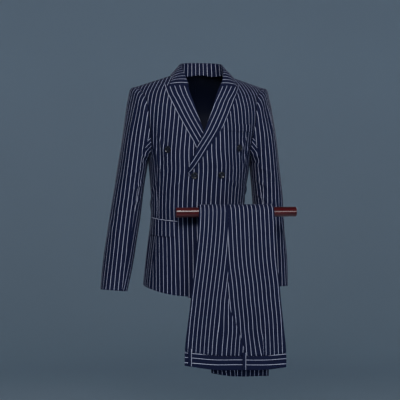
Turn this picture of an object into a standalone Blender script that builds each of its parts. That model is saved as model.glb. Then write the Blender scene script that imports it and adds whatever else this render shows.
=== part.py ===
"""Double-breasted suit: a jacket that keeps its wearer's hollow form, and its trousers folded over a rod.

Metres, +Z up. The front faces -Y and the wearer's left is +X. The origin is at the base of the neck.
The jacket's panels are cut from one skin. It is read by an angle round the body, 0 at the centre front and
positive towards the wearer's left, and by a depth below the shoulder line. What lies on a panel is made
from the same skin, moved out.
"""

import math
from collections import namedtuple

import bmesh
import bpy
import numpy as np

# Driving sizes
WALL = 0.002  # the jacket's cloth with its interlining
SEAM = 0.0004  # between pieces that are sewn together
LAY = 0.0008  # between a piece and the panel that it lies on
NECK_X = 0.007  # the neck's centre; the jacket hangs a little to its wearer's right
CROWN = 0.130  # depth over which the chest and back round over into the shoulder seam
SQUARE = 0.87  # power of the sections' sines and cosines: below 1 is squarer than an ellipse
SHOULDER_Y = 0.010
SHOULDER_TOP = 0.004
SHOULDER_SLOPE = 0.328
SHOULDER_START = 0.075
SHOULDER_FADE = 0.260
NAPE_RISE = 0.040
NAPE_WIDTH = 0.045
NAPE_DEPTH = 0.014
NECK_HALF = 0.072
SIDE_FRONT = math.radians(62)
SIDE_BACK = math.radians(116)
SIDE_MIDDLE = (SIDE_FRONT + SIDE_BACK) / 2
SIDE_HALF = (SIDE_BACK - SIDE_FRONT) / 2
SIDE_DEPTH = 0.190  # where the side body's seams meet the armhole
ARM_DEPTH = 0.252
HEM_START = 0.300  # the rows below this fan out to the hem
HEM_SIDE = 0.646
HEM_FRONT_DROP = 0.024
HEM_BACK_DROP = 0.014
OVER_DROP = 0.004  # how much lower the over front's corner hangs
OVER_CORNER = (0.5, 0.9)  # where across the front that drop starts and is full
OVER_EDGE = -0.051
LAPEL_ROLL = 0.0012  # how far a lapel arches between its fold and its edge
NECK_CUT = 0.012  # how far the fronts' edges lie outside the fold, under the collar
NECK_CUT_DEPTHS = (0.040, 0.075)  # between these depths the cut runs out to the fold
UNDER_EDGE = 0.054
LIFT_END_X = (0.056, 0.094)  # past the under front's edge, the over front comes down to the skin
LIFT_START_DEPTHS = (0.090, 0.168)
LAPEL_FOOT_DEPTHS = (0.264, 0.292)  # below the foot of the under lapel
GIRTH = 0.130  # the body's rough radius, by which a seam's width becomes an angle
SEAM_TURN = SEAM / 2 / GIRTH
FRONT_COLUMNS = 9
BACK_COLUMNS = (4, 4)  # under the neckline and under the shoulder seam
SIDE_COLUMNS = 6

Section = namedtuple("Section", "depth half_width front back lean")
BODY = (
    Section(0.000, 0.205, 0.112, 0.100, 0.000),
    Section(0.060, 0.200, 0.119, 0.112, 0.000),
    Section(0.120, 0.194, 0.122, 0.119, 0.000),
    Section(0.200, 0.1715, 0.1225, 0.120, -0.001),
    Section(0.250, 0.1580, 0.1200, 0.116, -0.002),
    Section(0.290, 0.1545, 0.1160, 0.110, -0.002),
    Section(0.340, 0.1490, 0.1090, 0.102, -0.004),
    Section(0.400, 0.1450, 0.1040, 0.098, -0.006),
    Section(0.450, 0.1465, 0.1060, 0.101, -0.006),
    Section(0.520, 0.1550, 0.1120, 0.111, -0.006),
    Section(0.600, 0.1645, 0.1150, 0.119, -0.006),
    Section(0.680, 0.1720, 0.1150, 0.121, -0.006),
)

Arm = namedtuple("Arm", "depth front back")
ARMHOLE = (
    Arm(0.000, 0.1970, 0.1970),
    Arm(0.005, 0.1925, 0.1945),
    Arm(0.019, 0.1840, 0.1900),
    Arm(0.041, 0.1750, 0.1845),
    Arm(0.069, 0.1685, 0.1805),
    Arm(0.099, 0.1650, 0.1780),
    Arm(0.130, 0.1625, 0.1755),
    Arm(0.160, 0.1595, 0.1695),
    Arm(0.190, 0.1565, 0.1590),
)

# Where each front folds open, and below that its edge
Line = namedtuple("Line", "depth x")
OVER_ROLL = (
    Line(0.000, 0.0740),
    Line(0.010, 0.0670),
    Line(0.028, 0.0585),
    Line(0.048, 0.0460),
    Line(0.088, 0.0294),
    Line(0.123, 0.0159),
    Line(0.171, -0.0045),
    Line(0.227, -0.0278),
    Line(0.286, -0.0500),
)
UNDER_ROLL = (
    Line(0.000, -0.0540),
    Line(0.020, -0.0475),
    Line(0.051, -0.0419),
    Line(0.084, -0.0353),
    Line(0.124, -0.0248),
    Line(0.171, -0.0112),
    Line(0.227, 0.0170),
    Line(0.286, 0.0500),
)
# The outer edges of the lapels, from the tip down
OVER_LAPEL = (
    Line(0.022, 0.1150),
    Line(0.064, 0.0945),
    Line(0.112, 0.0678),
    Line(0.148, 0.0472),
    Line(0.184, 0.0270),
    Line(0.218, 0.0046),
    Line(0.240, -0.0095),
    Line(0.263, -0.0233),
    Line(0.283, -0.0350),
)
UNDER_LAPEL = (
    Line(0.026, -0.1140),
    Line(0.084, -0.0975),
    Line(0.128, -0.0793),
    Line(0.1645, -0.0573),
    Line(0.1926, -0.0348),
    Line(0.215, -0.0123),
    Line(0.240, 0.0090),
    Line(0.262, 0.0290),
)

OVER_NOTCH = 0.0380  # depths of the notches
UNDER_NOTCH = 0.0374
LAPEL_NOTCH = 0.8  # how far along the gorge the collar ends
LAPEL_PEAK_START = 0.75  # how far up a lapel its rows begin to turn to the gorge
LAPEL_COLUMNS = (0.0, 0.2, 0.4, 0.6, LAPEL_NOTCH, 1.0)  # from the fold to the outer edge
GORGE = 0.0438  # depth of the seam between lapel and collar, at the fold
LAPEL_ROWS = (0.0, 0.1, 0.2, 0.3, 0.4, 0.5, 0.6, 0.68, 0.76, 0.83, 0.89, 0.95, 1.0)  # from the foot up

# Rows of a panel: turns over the shoulder, then depths down the side
TURNS = (0.0045, 0.277, 0.549, 0.817, 1.082, 1.330, math.pi / 2, 1.8016, 2.0323)
DEPTHS = (0.225, 0.258, 0.292, 0.326, 0.360, 0.395, 0.430, 0.475, 0.525, 0.575, 0.620, 0.660)

# The collar from the centre back (along 0) to its front ends (along 1). Its fold line is a curve in space.
# Its base and outer edge lie on the skin, at depths that are negative behind the shoulder seam.
Turn = namedtuple(
    "Turn",
    "along fold_x fold_y fold_z fold_centre edge_x edge_depth edge_centre base_x base_depth base_lift bulge",
)
COLLAR = (
    Turn(0.00, 0.0000, 0.053, 0.0440, 0.0070, 0.0000, -0.0240, 0.007, 0.0000, -0.0122, -0.0028, 0.0000),
    Turn(0.16, 0.0310, 0.048, 0.0430, 0.0070, 0.0460, -0.0220, 0.007, 0.0330, -0.0090, -0.0030, 0.0000),
    Turn(0.32, 0.0530, 0.033, 0.0400, 0.0070, 0.0760, -0.0150, 0.007, 0.0560, -0.0030, -0.0032, 0.0005),
    Turn(0.48, 0.0635, 0.010, 0.0340, 0.0070, 0.0920, -0.0025, 0.007, 0.0665, 0.0004, -0.0034, 0.0015),
    Turn(0.64, 0.0600, -0.030, 0.0090, 0.0080, 0.0955, 0.0070, 0.006, 0.0640, 0.0100, -0.0030, 0.0028),
    Turn(0.82, 0.0520, -0.069, -0.0190, 0.0065, 0.0975, 0.0220, 0.003, 0.0560, 0.0295, -0.0040, 0.0030),
    Turn(1.00, 0.0470, -0.084, -0.0342, 0.0030, 0.1010, 0.0350, -0.001, 0.0495, 0.0445, -0.0040, 0.0022),
)
Knot = namedtuple("Knot", "along turn")
COLLAR_LIFT = WALL + 2 * LAY  # of its outer edge
COLLAR_COLUMNS = 24
COLLAR_ROWS = (0.0, 0.45, 0.50, 0.55, 0.7, 0.85, 1.0)  # up the stand, over the fold and down the fall
COLLAR_FOLD = (0.45, 0.55)
COLLAR_BEND = 0.0026  # radius of the fold
COLLAR_STEP = 0.004

Ring = namedtuple("Ring", "along outer_x outer_z inner_x inner_z middle_y half_y tilt")
# The wearer's right sleeve and left sleeve: along is the length from the sleeve head
RIGHT_SLEEVE = (
    Ring(0.000, 0.1970, -0.036, 0.1585, -0.252, -0.004, 0.060, 0.00),
    Ring(0.014, 0.2100, -0.042, 0.1600, -0.254, -0.004, 0.060, 0.00),
    Ring(0.045, 0.2190, -0.072, 0.1608, -0.258, -0.003, 0.061, 0.00),
    Ring(0.090, 0.2270, -0.118, 0.1612, -0.263, -0.002, 0.062, 0.00),
    Ring(0.140, 0.2355, -0.168, 0.1612, -0.269, 0.000, 0.062, 0.00),
    Ring(0.245, 0.2520, -0.276, 0.1612, -0.282, 0.004, 0.061, 0.00),
    Ring(0.300, 0.2610, -0.331, 0.1690, -0.334, 0.005, 0.058, 0.00),
    Ring(0.355, 0.2700, -0.384, 0.1770, -0.388, 0.004, 0.055, 0.02),
    Ring(0.410, 0.2790, -0.437, 0.1850, -0.441, 0.000, 0.052, 0.05),
    Ring(0.470, 0.2885, -0.497, 0.1950, -0.501, -0.010, 0.049, 0.09),
    Ring(0.540, 0.2990, -0.567, 0.2080, -0.571, -0.026, 0.046, 0.12),
    Ring(0.624, 0.3100, -0.650, 0.2280, -0.652, -0.050, 0.043, 0.14),
)
LEFT_SLEEVE = (
    Ring(0.000, 0.1970, -0.036, 0.1585, -0.252, -0.004, 0.060, 0.00),
    Ring(0.014, 0.2110, -0.042, 0.1592, -0.254, -0.004, 0.060, 0.00),
    Ring(0.045, 0.2200, -0.072, 0.1594, -0.258, -0.003, 0.061, 0.00),
    Ring(0.090, 0.2290, -0.118, 0.1592, -0.263, -0.002, 0.062, 0.00),
    Ring(0.140, 0.2380, -0.168, 0.1588, -0.269, 0.000, 0.062, 0.00),
    Ring(0.245, 0.2520, -0.276, 0.1588, -0.282, 0.004, 0.061, 0.00),
    Ring(0.300, 0.2585, -0.331, 0.1630, -0.334, 0.005, 0.058, 0.00),
    Ring(0.355, 0.2630, -0.384, 0.1680, -0.388, 0.004, 0.055, 0.02),
    Ring(0.410, 0.2650, -0.437, 0.1720, -0.441, 0.000, 0.052, 0.05),
    Ring(0.470, 0.2665, -0.497, 0.1750, -0.501, -0.010, 0.049, 0.09),
    Ring(0.540, 0.2670, -0.567, 0.1780, -0.571, -0.026, 0.046, 0.12),
    Ring(0.624, 0.2640, -0.650, 0.1810, -0.652, -0.050, 0.043, 0.14),
)
HEAD_FADE = 0.200  # length over which the sleeve head becomes a plain oval
SLEEVE_PITCH = 0.013  # rough distance between two places round the armhole
SLEEVE_STEP = 0.01
FRONT_SEAM, REAR_SEAM = 8, 14  # where the two pieces of a sleeve meet, as places round the armhole

# The rod and the trousers that are folded over it
ROD_RADIUS = 0.0147
ROD_SIDES = 32
ROD_Z = -0.4145
ROD_ENDS = (-0.0904, 0.2725)
CORE = 0.0055  # three hidden layers of cloth
LEG_WALL = 0.0018
BAND_WALL = 0.0026
BAND_HEIGHT = 0.042
LOOP_WIDTH = 0.011
LOOP_WALL = 0.0015
CORE_INSET = 0.0015  # of the hidden layers from the panel's edges and foot
CORE_ROUND = 0.0025  # width over which their edges round off
CORE_EDGE = 0.85  # how far round
FOLD_RADIUS = ROD_RADIUS + 0.0009  # the innermost layer's bend
QUARTER = FOLD_RADIUS * math.pi / 2
SKIRT_GAP = 0.0006  # between the jacket's skirt and the trousers
SKIRT_FRONT = BODY[-1].front + WALL + LAY
ROD_Y = -(SKIRT_FRONT + SKIRT_GAP + LEG_WALL + SEAM + CORE + FOLD_RADIUS)

# Edges and side seam of the folded legs; along is the length of cloth from the rod's top, negative in front
Leg = namedtuple("Leg", "along left right seam")
LEGS = (
    Leg(-0.495, -0.0690, 0.2405, 0.1200),
    Leg(-0.449, -0.0665, 0.2395, 0.1145),
    Leg(-0.425, -0.0648, 0.2380, 0.1100),
    Leg(-0.368, -0.0580, 0.2315, 0.0927),
    Leg(-0.314, -0.0515, 0.2255, 0.0698),
    Leg(-0.281, -0.0482, 0.2220, 0.0655),
    Leg(-0.245, -0.0440, 0.2190, 0.0632),
    Leg(-0.174, -0.0356, 0.2105, 0.0630),
    Leg(-0.052, -0.0252, 0.2035, 0.0630),
    Leg(0.000, -0.0235, 0.2005, 0.0630),
    Leg(0.224, -0.0080, 0.1990, 0.0800),
    Leg(0.524, 0.0195, 0.1950, 0.0980),
)
Drop = namedtuple("Drop", "x drop")
BAND_FOOT = (
    Drop(-0.068, 0.4520),
    Drop(-0.030, 0.4590),
    Drop(0.015, 0.4660),
    Drop(0.096, 0.4700),
    Drop(0.142, 0.4715),
    Drop(0.189, 0.4705),
    Drop(0.240, 0.4650),
)
LEG_FOOT = (
    Drop(0.0195, 0.4860),
    Drop(0.0560, 0.4940),
    Drop(0.0910, 0.4980),
    Drop(0.1950, 0.4995),
)
BEND_STEPS = 6
FRONT_FALL = (0.425, 0.370, 0.315, 0.260, 0.180, 0.100, 0.030)  # rows below the bend, in front and behind
REAR_FALL = (0.060, 0.140, 0.220, 0.300, 0.380, 0.440, 0.498)
LEG_COLUMNS = 3
BAND_COLUMNS = 10
LOOP_ROWS = 3
CORE_COLUMNS = (0.0, 0.006, 0.2, 0.5, 0.8, 0.994, 1.0)
BAND_ALONG = -0.460
LOOP_REACH = 1.08  # of a belt loop's length to the waistband's height
LOOP_DROP = 0.001
LOOPS = (-0.052, 0.111)

# Pockets and buttons
FLAP_ANGLES = (math.radians(27.0), math.radians(78.0))
FLAP_TOP = (0.4465, 0.4375)
FLAP_FOOT = (0.4905, 0.4885)
FLAP_WALL = 0.0022
FLAP_COLUMNS = 7
WELT_COLUMNS = 5
JET = 0.005
WELT_X = (0.0630, 0.1400)
WELT_TOP = 0.150
WELT_HEIGHT = 0.023
BUTTON_RADIUS = 0.010
BUTTON_SIDES = 14
BUTTON_HEIGHT = 0.0038
BUTTON_DISH = 0.0010
BUTTON_RIM = 0.0022
Button = namedtuple("Button", "name x depth over")
BUTTONS = (
    Button("button_chest_right", -0.1086, 0.2277, False),
    Button("button_chest_left", 0.1069, 0.2229, True),
    Button("button_waist_right", -0.0310, 0.3051, True),
    Button("button_waist_left", 0.0499, 0.3038, True),
    Button("button_lower_right", -0.0310, 0.4213, True),
    Button("button_lower_left", 0.0500, 0.4222, True),
)

SHARP = math.radians(40)  # edges sharper than this aren't shaded smooth
CLOTH_ROUGHNESS = 0.85
BUTTON_ROUGHNESS = 0.35
LACQUER_ROUGHNESS = 0.25
NAVY = (0.022, 0.024, 0.060)
BUTTON_NAVY = (0.012, 0.013, 0.026)
LACQUER = (0.150, 0.010, 0.014)


def read(rows, column, at):
    """Reads a column by a smooth curve through its rows, and straight on past both ends."""
    knots = np.array([row[0] for row in rows])
    values = np.array([getattr(row, column) for row in rows])
    slopes = np.gradient(values, knots)
    at = np.asarray(at, float)
    i = np.clip(np.searchsorted(knots, at) - 1, 0, len(knots) - 2)
    width = knots[i + 1] - knots[i]
    along = (at - knots[i]) / width
    t = np.clip(along, 0, 1)
    curve = (
        values[i] * (1 + 2 * t) * (1 - t) ** 2
        + values[i + 1] * t * t * (3 - 2 * t)
        + width * t * (1 - t) * (slopes[i] * (1 - t) - slopes[i + 1] * t)
    )
    past = (along - t) * width
    return curve + past * np.where(along < 0, slopes[0], slopes[-1])


def depth_of(turn):
    """Depth below the shoulder line: a quarter round over the crown, then straight down."""
    over = CROWN * (1 - np.cos(turn))
    return np.where(turn < math.pi / 2, over, CROWN * (1 + turn - math.pi / 2))


def turn_of(depth):
    """The turn that lies at a depth."""
    over = np.arccos(np.clip(1 - depth / CROWN, -1, 1))
    return np.where(depth < CROWN, over, math.pi / 2 + depth / CROWN - 1)


def angle_at(x, depth, back=False):
    """The angle round the body at which its skin has this x."""
    share = (x - read(BODY, "lean", depth)) / read(BODY, "half_width", depth)
    angle = np.arcsin(np.clip(np.abs(share), 0, 1) ** (1 / SQUARE)) * np.sign(share)
    return np.where(share < 0, -math.pi, math.pi) - angle if back else angle


def bare_skin(angle, turn):
    """A point of the body's skin."""
    depth = depth_of(turn)
    rise = np.where(turn < math.pi / 2, np.sin(turn), 1.0)
    fade = np.clip(1 - depth / SHOULDER_FADE, 0, 1) ** 2
    sine, cosine = np.sin(angle), np.cos(angle)
    forward = np.sign(cosine) * np.abs(cosine) ** SQUARE
    x = read(BODY, "lean", depth) + read(BODY, "half_width", depth) * np.sign(sine) * np.abs(sine) ** SQUARE
    reach = np.where(cosine > 0, read(BODY, "front", depth), read(BODY, "back", depth))
    y = SHOULDER_Y * (1 - rise) - rise * reach * forward
    shoulder = SHOULDER_TOP - SHOULDER_SLOPE * np.maximum(np.abs(x) - SHOULDER_START, 0)
    nape = NAPE_RISE * rise * np.exp(-(((x - NECK_X) / NAPE_WIDTH) ** 2)) * (cosine < 0)
    return np.stack([x, y, (shoulder + nape) * fade - depth], -1)


def outward(point, u, v, step=0.001):
    """Unit normals of point(u, v), by differences."""
    across = point(u + step, v) - point(u - step, v)
    down = point(u, v + step) - point(u, v - step)
    normal = np.cross(down, across)
    return normal / np.linalg.norm(normal, axis=-1, keepdims=True)


def skin(angle, turn, lift=0.0):
    """A point of the body's skin, moved out by lift."""
    angle, turn = np.broadcast_arrays(np.asarray(angle, float), np.asarray(turn, float))
    normal = outward(bare_skin, angle, turn)
    return bare_skin(angle, turn) + normal * np.expand_dims(np.broadcast_to(lift, angle.shape), -1)


def step_up(value, start, end):
    """0 at start and 1 at end, with a smooth step between."""
    t = np.clip((value - start) / (end - start), 0, 1)
    return t * t * (3 - 2 * t)


def finish(name, colour, roughness, bm):
    """Links a closed bmesh as a named object with its own material."""
    if bm.calc_volume(signed=True) < 0:
        bmesh.ops.reverse_faces(bm, faces=bm.faces)
    mesh = bpy.data.meshes.new(name)
    bm.to_mesh(mesh)
    bm.free()
    mesh.shade_smooth()
    mesh.set_sharp_from_angle(angle=SHARP)
    material = bpy.data.materials.new(name)
    material.use_nodes = True
    shader = material.node_tree.nodes["Principled BSDF"]
    shader.inputs["Base Color"].default_value = (*colour, 1)
    shader.inputs["Roughness"].default_value = roughness
    mesh.materials.append(material)
    item = bpy.data.objects.new(name, mesh)
    bpy.context.scene.collection.objects.link(item)
    return item


def wall(name, columns, rows, place, thickness=WALL):
    """Makes a closed wall of cloth: two grids joined round their rims.

    place(u, v, lift) gives the points of its outer face, moved out by lift.
    """
    bm = bmesh.new()
    sizes = {"x_segments": len(columns) - 1, "y_segments": len(rows) - 1, "size": 1}
    bmesh.ops.create_grid(bm, **sizes)
    inner = bmesh.ops.create_grid(bm, **sizes)["verts"]
    bmesh.ops.translate(bm, verts=inner, vec=(0, 0, -0.01))
    bmesh.ops.bridge_loops(bm, edges=[edge for edge in bm.edges if edge.is_boundary])
    bmesh.ops.recalc_face_normals(bm, faces=bm.faces)
    flat = np.array([vert.co[:] for vert in bm.verts])
    i = np.rint((flat[:, 0] + 1) / 2 * (len(columns) - 1)).astype(int)
    j = np.rint((flat[:, 1] + 1) / 2 * (len(rows) - 1)).astype(int)
    lift = np.where(flat[:, 2] < -0.005, -thickness, 0.0)
    points = place(np.asarray(columns, float)[i], np.asarray(rows, float)[j], lift)
    for vert, point in zip(bm.verts, points):
        vert.co = point
    return finish(name, NAVY, CLOTH_ROUGHNESS, bm)


# --- The suit
def armhole_angle(depth, side, back):
    """The angle of the armhole's front or back edge at a depth above the side body."""
    x = side * read(ARMHOLE, "back" if back else "front", depth)
    return angle_at(x, depth, back)


def underarm_depth(angle):
    """Depth of the armhole over the side body."""
    share = np.clip((np.abs(angle) - SIDE_MIDDLE) / SIDE_HALF, -1, 1)
    return SIDE_DEPTH + (ARM_DEPTH - SIDE_DEPTH) * np.sqrt(1 - share**2)


def hem_depth(angle):
    """Depth of the hem, lowest at the centre front and the centre back."""
    drop = np.where(np.cos(angle) > 0, HEM_FRONT_DROP, HEM_BACK_DROP)
    return HEM_SIDE + drop * np.cos(angle) ** 2


def to_hem(depth, angle, extra=0.0):
    """Fans the rows below HEM_START out to the hem."""
    share = np.clip((depth - HEM_START) / (DEPTHS[-1] - HEM_START), 0, None)
    return np.where(depth > HEM_START, HEM_START + share * (hem_depth(angle) + extra - HEM_START), depth)


def panel_rows():
    """Depths of every row of a front or back."""
    return np.concatenate([depth_of(np.array(TURNS)), DEPTHS])


def over_lift(x, depth):
    """How far the over front stands off the skin: clear of the under front, and of its lapel higher up."""
    under_lapel = WALL + LAY + LAPEL_ROLL + LAY
    over_front = (1 - step_up(x, *LIFT_END_X)) * step_up(depth, *LIFT_START_DEPTHS)
    return over_front * (WALL + LAY + under_lapel * (1 - step_up(depth, *LAPEL_FOOT_DEPTHS)))


def front(name, side, fold, edge, extra, lift_of):
    """A front, from its fold and edge to the armhole and the side body."""

    def place(u, v, lift):
        inner = np.where(v < fold[-1].depth, read(fold, "x", np.minimum(v, fold[-1].depth)), edge)
        inner = inner + side * NECK_CUT * (1 - step_up(v, *NECK_CUT_DEPTHS))
        outer = np.where(v < SIDE_DEPTH - 0.001, armhole_angle(v, side, False), side * SIDE_FRONT)
        depth = v
        for _ in range(2):
            start = angle_at(inner, depth)
            angle = start + (outer - start) * u
            angle = angle - np.where(u >= 1, side * SEAM_TURN, 0)
            depth = to_hem(v, angle, extra * step_up(1 - u, *OVER_CORNER))
        x = bare_skin(angle, turn_of(depth))[..., 0]
        return skin(angle, turn_of(depth), lift + lift_of(x, depth))

    return wall(name, np.linspace(0, 1, FRONT_COLUMNS + 1), panel_rows(), place)


def side_body(name, side):
    """The panel under the arm."""

    def place(u, v, lift):
        angle = SIDE_MIDDLE - SIDE_HALF * np.cos(math.pi * u)
        top = underarm_depth(angle)
        angle = angle + np.where(u <= 0, SEAM_TURN, 0) - np.where(u >= 1, SEAM_TURN, 0)
        share = (v - SIDE_DEPTH) / (HEM_START - SIDE_DEPTH)
        depth = np.where(v < HEM_START, top + (HEM_START - top) * share, to_hem(v, angle))
        return skin(side * angle, turn_of(depth), lift)

    return wall(name, np.linspace(0, 1, SIDE_COLUMNS + 1), (SIDE_DEPTH, *DEPTHS), place)


def back(name, side):
    """Half of the back, from the centre seam to the armhole and the side body."""
    neck_angle = abs(float(angle_at(NECK_X + side * NECK_HALF, 0.0, True)))
    corner = (math.pi - neck_angle) / (math.pi - abs(float(armhole_angle(0.0, side, True))))
    under_neck, under_shoulder = BACK_COLUMNS
    neck_part = np.linspace(0, corner, under_neck + 1)
    columns = np.append(neck_part, np.linspace(corner, 1, under_shoulder + 1)[1:])

    def place(u, v, lift):
        outer = np.where(v < SIDE_DEPTH - 0.001, np.abs(armhole_angle(v, side, True)), SIDE_BACK)
        angle = math.pi + (outer - math.pi) * u
        angle = angle - np.where(u <= 0, SEAM_TURN, 0) + np.where(u >= 1, SEAM_TURN, 0)
        x = bare_skin(side * angle, turn_of(v))[..., 0]
        top = NAPE_DEPTH * np.clip(1 - ((x - NECK_X) / NECK_HALF) ** 2, 0, 1)
        share = np.clip(turn_of(v) / TURNS[-1], 0, 1)
        turn = turn_of(v) + turn_of(top) * (1 - share)
        depth = to_hem(depth_of(turn), angle)
        return skin(side * angle, turn_of(depth), lift)

    return wall(name, columns, panel_rows(), place)


def lapel(name, side, fold, edge, notch, lift_of):
    """A peaked lapel, from its fold to its outer edge; v runs from the foot to the gorge."""
    foot, tip = edge[-1].depth, edge[0]

    def place(u, v, lift):
        fold_depth = foot + (GORGE - foot) * v
        fold_x = read(fold, "x", fold_depth)
        edge_depth = foot + (tip.depth - foot) * v
        edge_x = read(edge, "x", edge_depth)
        x = fold_x + (edge_x - fold_x) * u
        depth = fold_depth + (edge_depth - fold_depth) * u
        peak = np.interp(u, (0, LAPEL_NOTCH, 1), (GORGE, notch, tip.depth))
        depth = depth + (peak - (GORGE + (tip.depth - GORGE) * u)) * step_up(v, LAPEL_PEAK_START, 1)
        roll = LAPEL_ROLL * np.sin(math.pi * np.clip(u, 0, 1))
        out = lift_of(x, depth) + LAY + WALL + roll
        return skin(angle_at(x, depth), turn_of(depth), lift + out)

    return wall(name, LAPEL_COLUMNS, LAPEL_ROWS, place)


def collar_line(t, column, mirrored=True):
    """Reads the collar's table at t, from -1 at the wearer's right end to 1 at the left end."""
    value = read(COLLAR, column, np.abs(t))
    return np.sign(t) * value if mirrored else value


def collar_on_skin(t, column, lift):
    """A point of the collar's base or edge, by its x and its signed depth."""
    centre = "fold_centre" if column == "base" else "edge_centre"
    x = collar_line(t, centre, False) + collar_line(t, column + "_x")
    depths = np.array([getattr(row, column + "_depth") for row in COLLAR])
    turns = np.sign(depths) * turn_of(np.abs(depths))
    turn = read([Knot(row.along, turn) for row, turn in zip(COLLAR, turns)], "turn", np.abs(t))
    depth = depth_of(np.abs(turn))
    angle = np.where(turn < 0, angle_at(x, depth, True), angle_at(x, depth))
    return skin(angle, np.abs(turn), lift)


def collar():
    """The collar: a stand round the neck, and its fall over the shoulders."""
    start, end = COLLAR_FOLD

    def section(t, r):
        base = collar_on_skin(t, "base", collar_line(t, "base_lift", False))
        edge = collar_on_skin(t, "edge", COLLAR_LIFT)
        fold_x = collar_line(t, "fold_centre", False) + collar_line(t, "fold_x")
        fold = np.stack([fold_x, collar_line(t, "fold_y", False), collar_line(t, "fold_z", False)], -1)
        up = fold - base
        up = up / np.linalg.norm(up, axis=-1, keepdims=True)
        out = edge - base
        out = out - up * (out * up).sum(-1, keepdims=True)
        out = out / np.linalg.norm(out, axis=-1, keepdims=True)
        top = fold - up * COLLAR_BEND
        turn = np.clip((r - start) / (end - start), 0, 1)[:, None] * math.pi
        bent = top + COLLAR_BEND * (up * np.sin(turn) + out * (1 - np.cos(turn)))
        stand = base + (top - base) * np.clip(r / start, 0, 1)[:, None]
        last = top + out * 2 * COLLAR_BEND
        share = np.clip((r - end) / (1 - end), 0, 1)[:, None]
        ahead = collar_on_skin(t + COLLAR_STEP, "edge", 0.0) - collar_on_skin(t - COLLAR_STEP, "edge", 0.0)
        away = np.cross(edge - last, ahead)
        away = away / np.linalg.norm(away, axis=-1, keepdims=True)
        bulge = collar_line(t, "bulge", False)[:, None] * np.sin(math.pi * share)
        fall = last + (edge - last) * share - away * bulge
        r = r[:, None]
        return np.where(r < start, stand, np.where(r > end, fall, bent))

    def place(u, v, lift):
        return section(u, v) - outward(section, u, v, COLLAR_STEP) * lift[:, None]

    return wall("collar", np.linspace(-1, 1, COLLAR_COLUMNS + 1), COLLAR_ROWS, place)


def armhole(side):
    """Points round the armhole, from the shoulder's tip down the front and up the back."""
    depths = depth_of(np.array(TURNS))
    front_part = [(float(armhole_angle(depth, side, False)), depth) for depth in depths[:-1]]
    back_part = [(float(armhole_angle(depth, side, True)), depth) for depth in depths[:-1]]
    steps = math.pi * np.arange(SIDE_COLUMNS + 1) / SIDE_COLUMNS
    under = side * (SIDE_MIDDLE - SIDE_HALF * np.cos(steps))
    under_part = [(angle, float(underarm_depth(angle))) for angle in under]
    ring = np.array(front_part + under_part + back_part[::-1])
    return skin(ring[:, 0], turn_of(ring[:, 1]))


def arm_oval(side, rings, v, angle):
    """A point of the sleeve's plain oval at a length v, by the angle round it from its top."""

    def at(column):
        return read(rings, column, v)

    outer = np.stack([side * at("outer_x"), 0 * v, at("outer_z")], -1)
    inner = np.stack([side * at("inner_x"), 0 * v, at("inner_z")], -1)
    forward = np.stack([0 * v, -at("half_y"), at("tilt") * at("half_y")], -1)
    middle = (outer + inner) / 2 + np.stack([0 * v, at("middle_y"), 0 * v], -1)
    return middle + (outer - inner) / 2 * np.cos(angle)[:, None] + forward * np.sin(angle)[:, None]


def sleeve(name, side, rings, first, last):
    """A piece of a sleeve, between two places round the armhole."""
    hole = armhole(side)
    count = len(hole) - 1
    bottom = count // 2
    lengths = np.append(0, np.cumsum(np.linalg.norm(np.diff(hole, axis=0), axis=1)))
    down = lengths[:bottom] / lengths[bottom]
    up = 1 + (lengths[bottom:] - lengths[bottom]) / (lengths[-1] - lengths[bottom])
    turns = math.pi * np.append(down, up)
    places = np.arange(count + 1, dtype=float)

    def tube(u, v):
        spot = u % count
        angle = np.interp(spot, places, turns)
        edge = np.stack([np.interp(spot, places, hole[:, axis]) for axis in range(3)], -1)
        edge = edge + np.array([side * 2 * SEAM, 0, 0])
        head = edge - arm_oval(side, rings, 0 * v, angle)
        return arm_oval(side, rings, v, angle) + head * (np.clip(1 - v / HEAD_FADE, 0, 1) ** 2)[:, None]

    def place(u, v, lift):
        normal = outward(tube, u, v, SLEEVE_STEP)
        gap = SEAM / 2 / SLEEVE_PITCH
        u = u + np.where(u <= first, gap, 0) - np.where(u >= last, gap, 0)
        return tube(u, v) - side * normal * lift[:, None]

    columns = np.arange(first, last + 1, dtype=float)
    return wall(name, columns, [ring.along for ring in rings], place)


def hang(x, along, out):
    """A point of the cloth over the rod; out is the distance from the innermost layer."""
    radius = FOLD_RADIUS + out
    turn = np.clip(along / QUARTER, -1, 1) * math.pi / 2
    straight = np.maximum(np.abs(along) - QUARTER, 0)
    y = ROD_Y + radius * np.sin(turn)
    z = ROD_Z + radius * np.cos(turn) - straight
    return np.stack([x + 0 * y, y, z], -1)


def leg_rows():
    """Lengths of every row of the folded legs, finer over the rod."""
    bend = np.linspace(-QUARTER, QUARTER, BEND_STEPS + 1)
    return np.concatenate([-QUARTER - np.array(FRONT_FALL), bend, QUARTER + np.array(REAR_FALL)])


def fan(along, first, last, front_drop, rear_drop):
    """Stretches the rows so that the first and last lie at the given drops."""
    share = np.where(along < 0, front_drop / (-first - QUARTER), rear_drop / (last - QUARTER))
    straight = np.maximum(np.abs(along) - QUARTER, 0)
    return np.sign(along) * (np.minimum(np.abs(along), QUARTER) + straight * share)


def leg_panel(name, near, far):
    """A trouser panel between two columns of the legs' table."""
    rows = leg_rows()

    def place(u, v, lift):
        start, end = read(LEGS, near, v), read(LEGS, far, v)
        x = start + (end - start) * u
        x = x + np.where((u <= 0) & (near == "seam"), SEAM / 2, 0)
        x = x - np.where((u >= 1) & (far == "seam"), SEAM / 2, 0)
        front_drop = read(BAND_FOOT, "drop", x) - BAND_HEIGHT - 2 * SEAM
        along = fan(v, rows[0], rows[-1], front_drop, read(LEG_FOOT, "drop", x))
        return hang(x, along, CORE + SEAM + LEG_WALL + lift)

    return wall(name, np.linspace(0, 1, LEG_COLUMNS + 1), rows, place, LEG_WALL)


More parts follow.
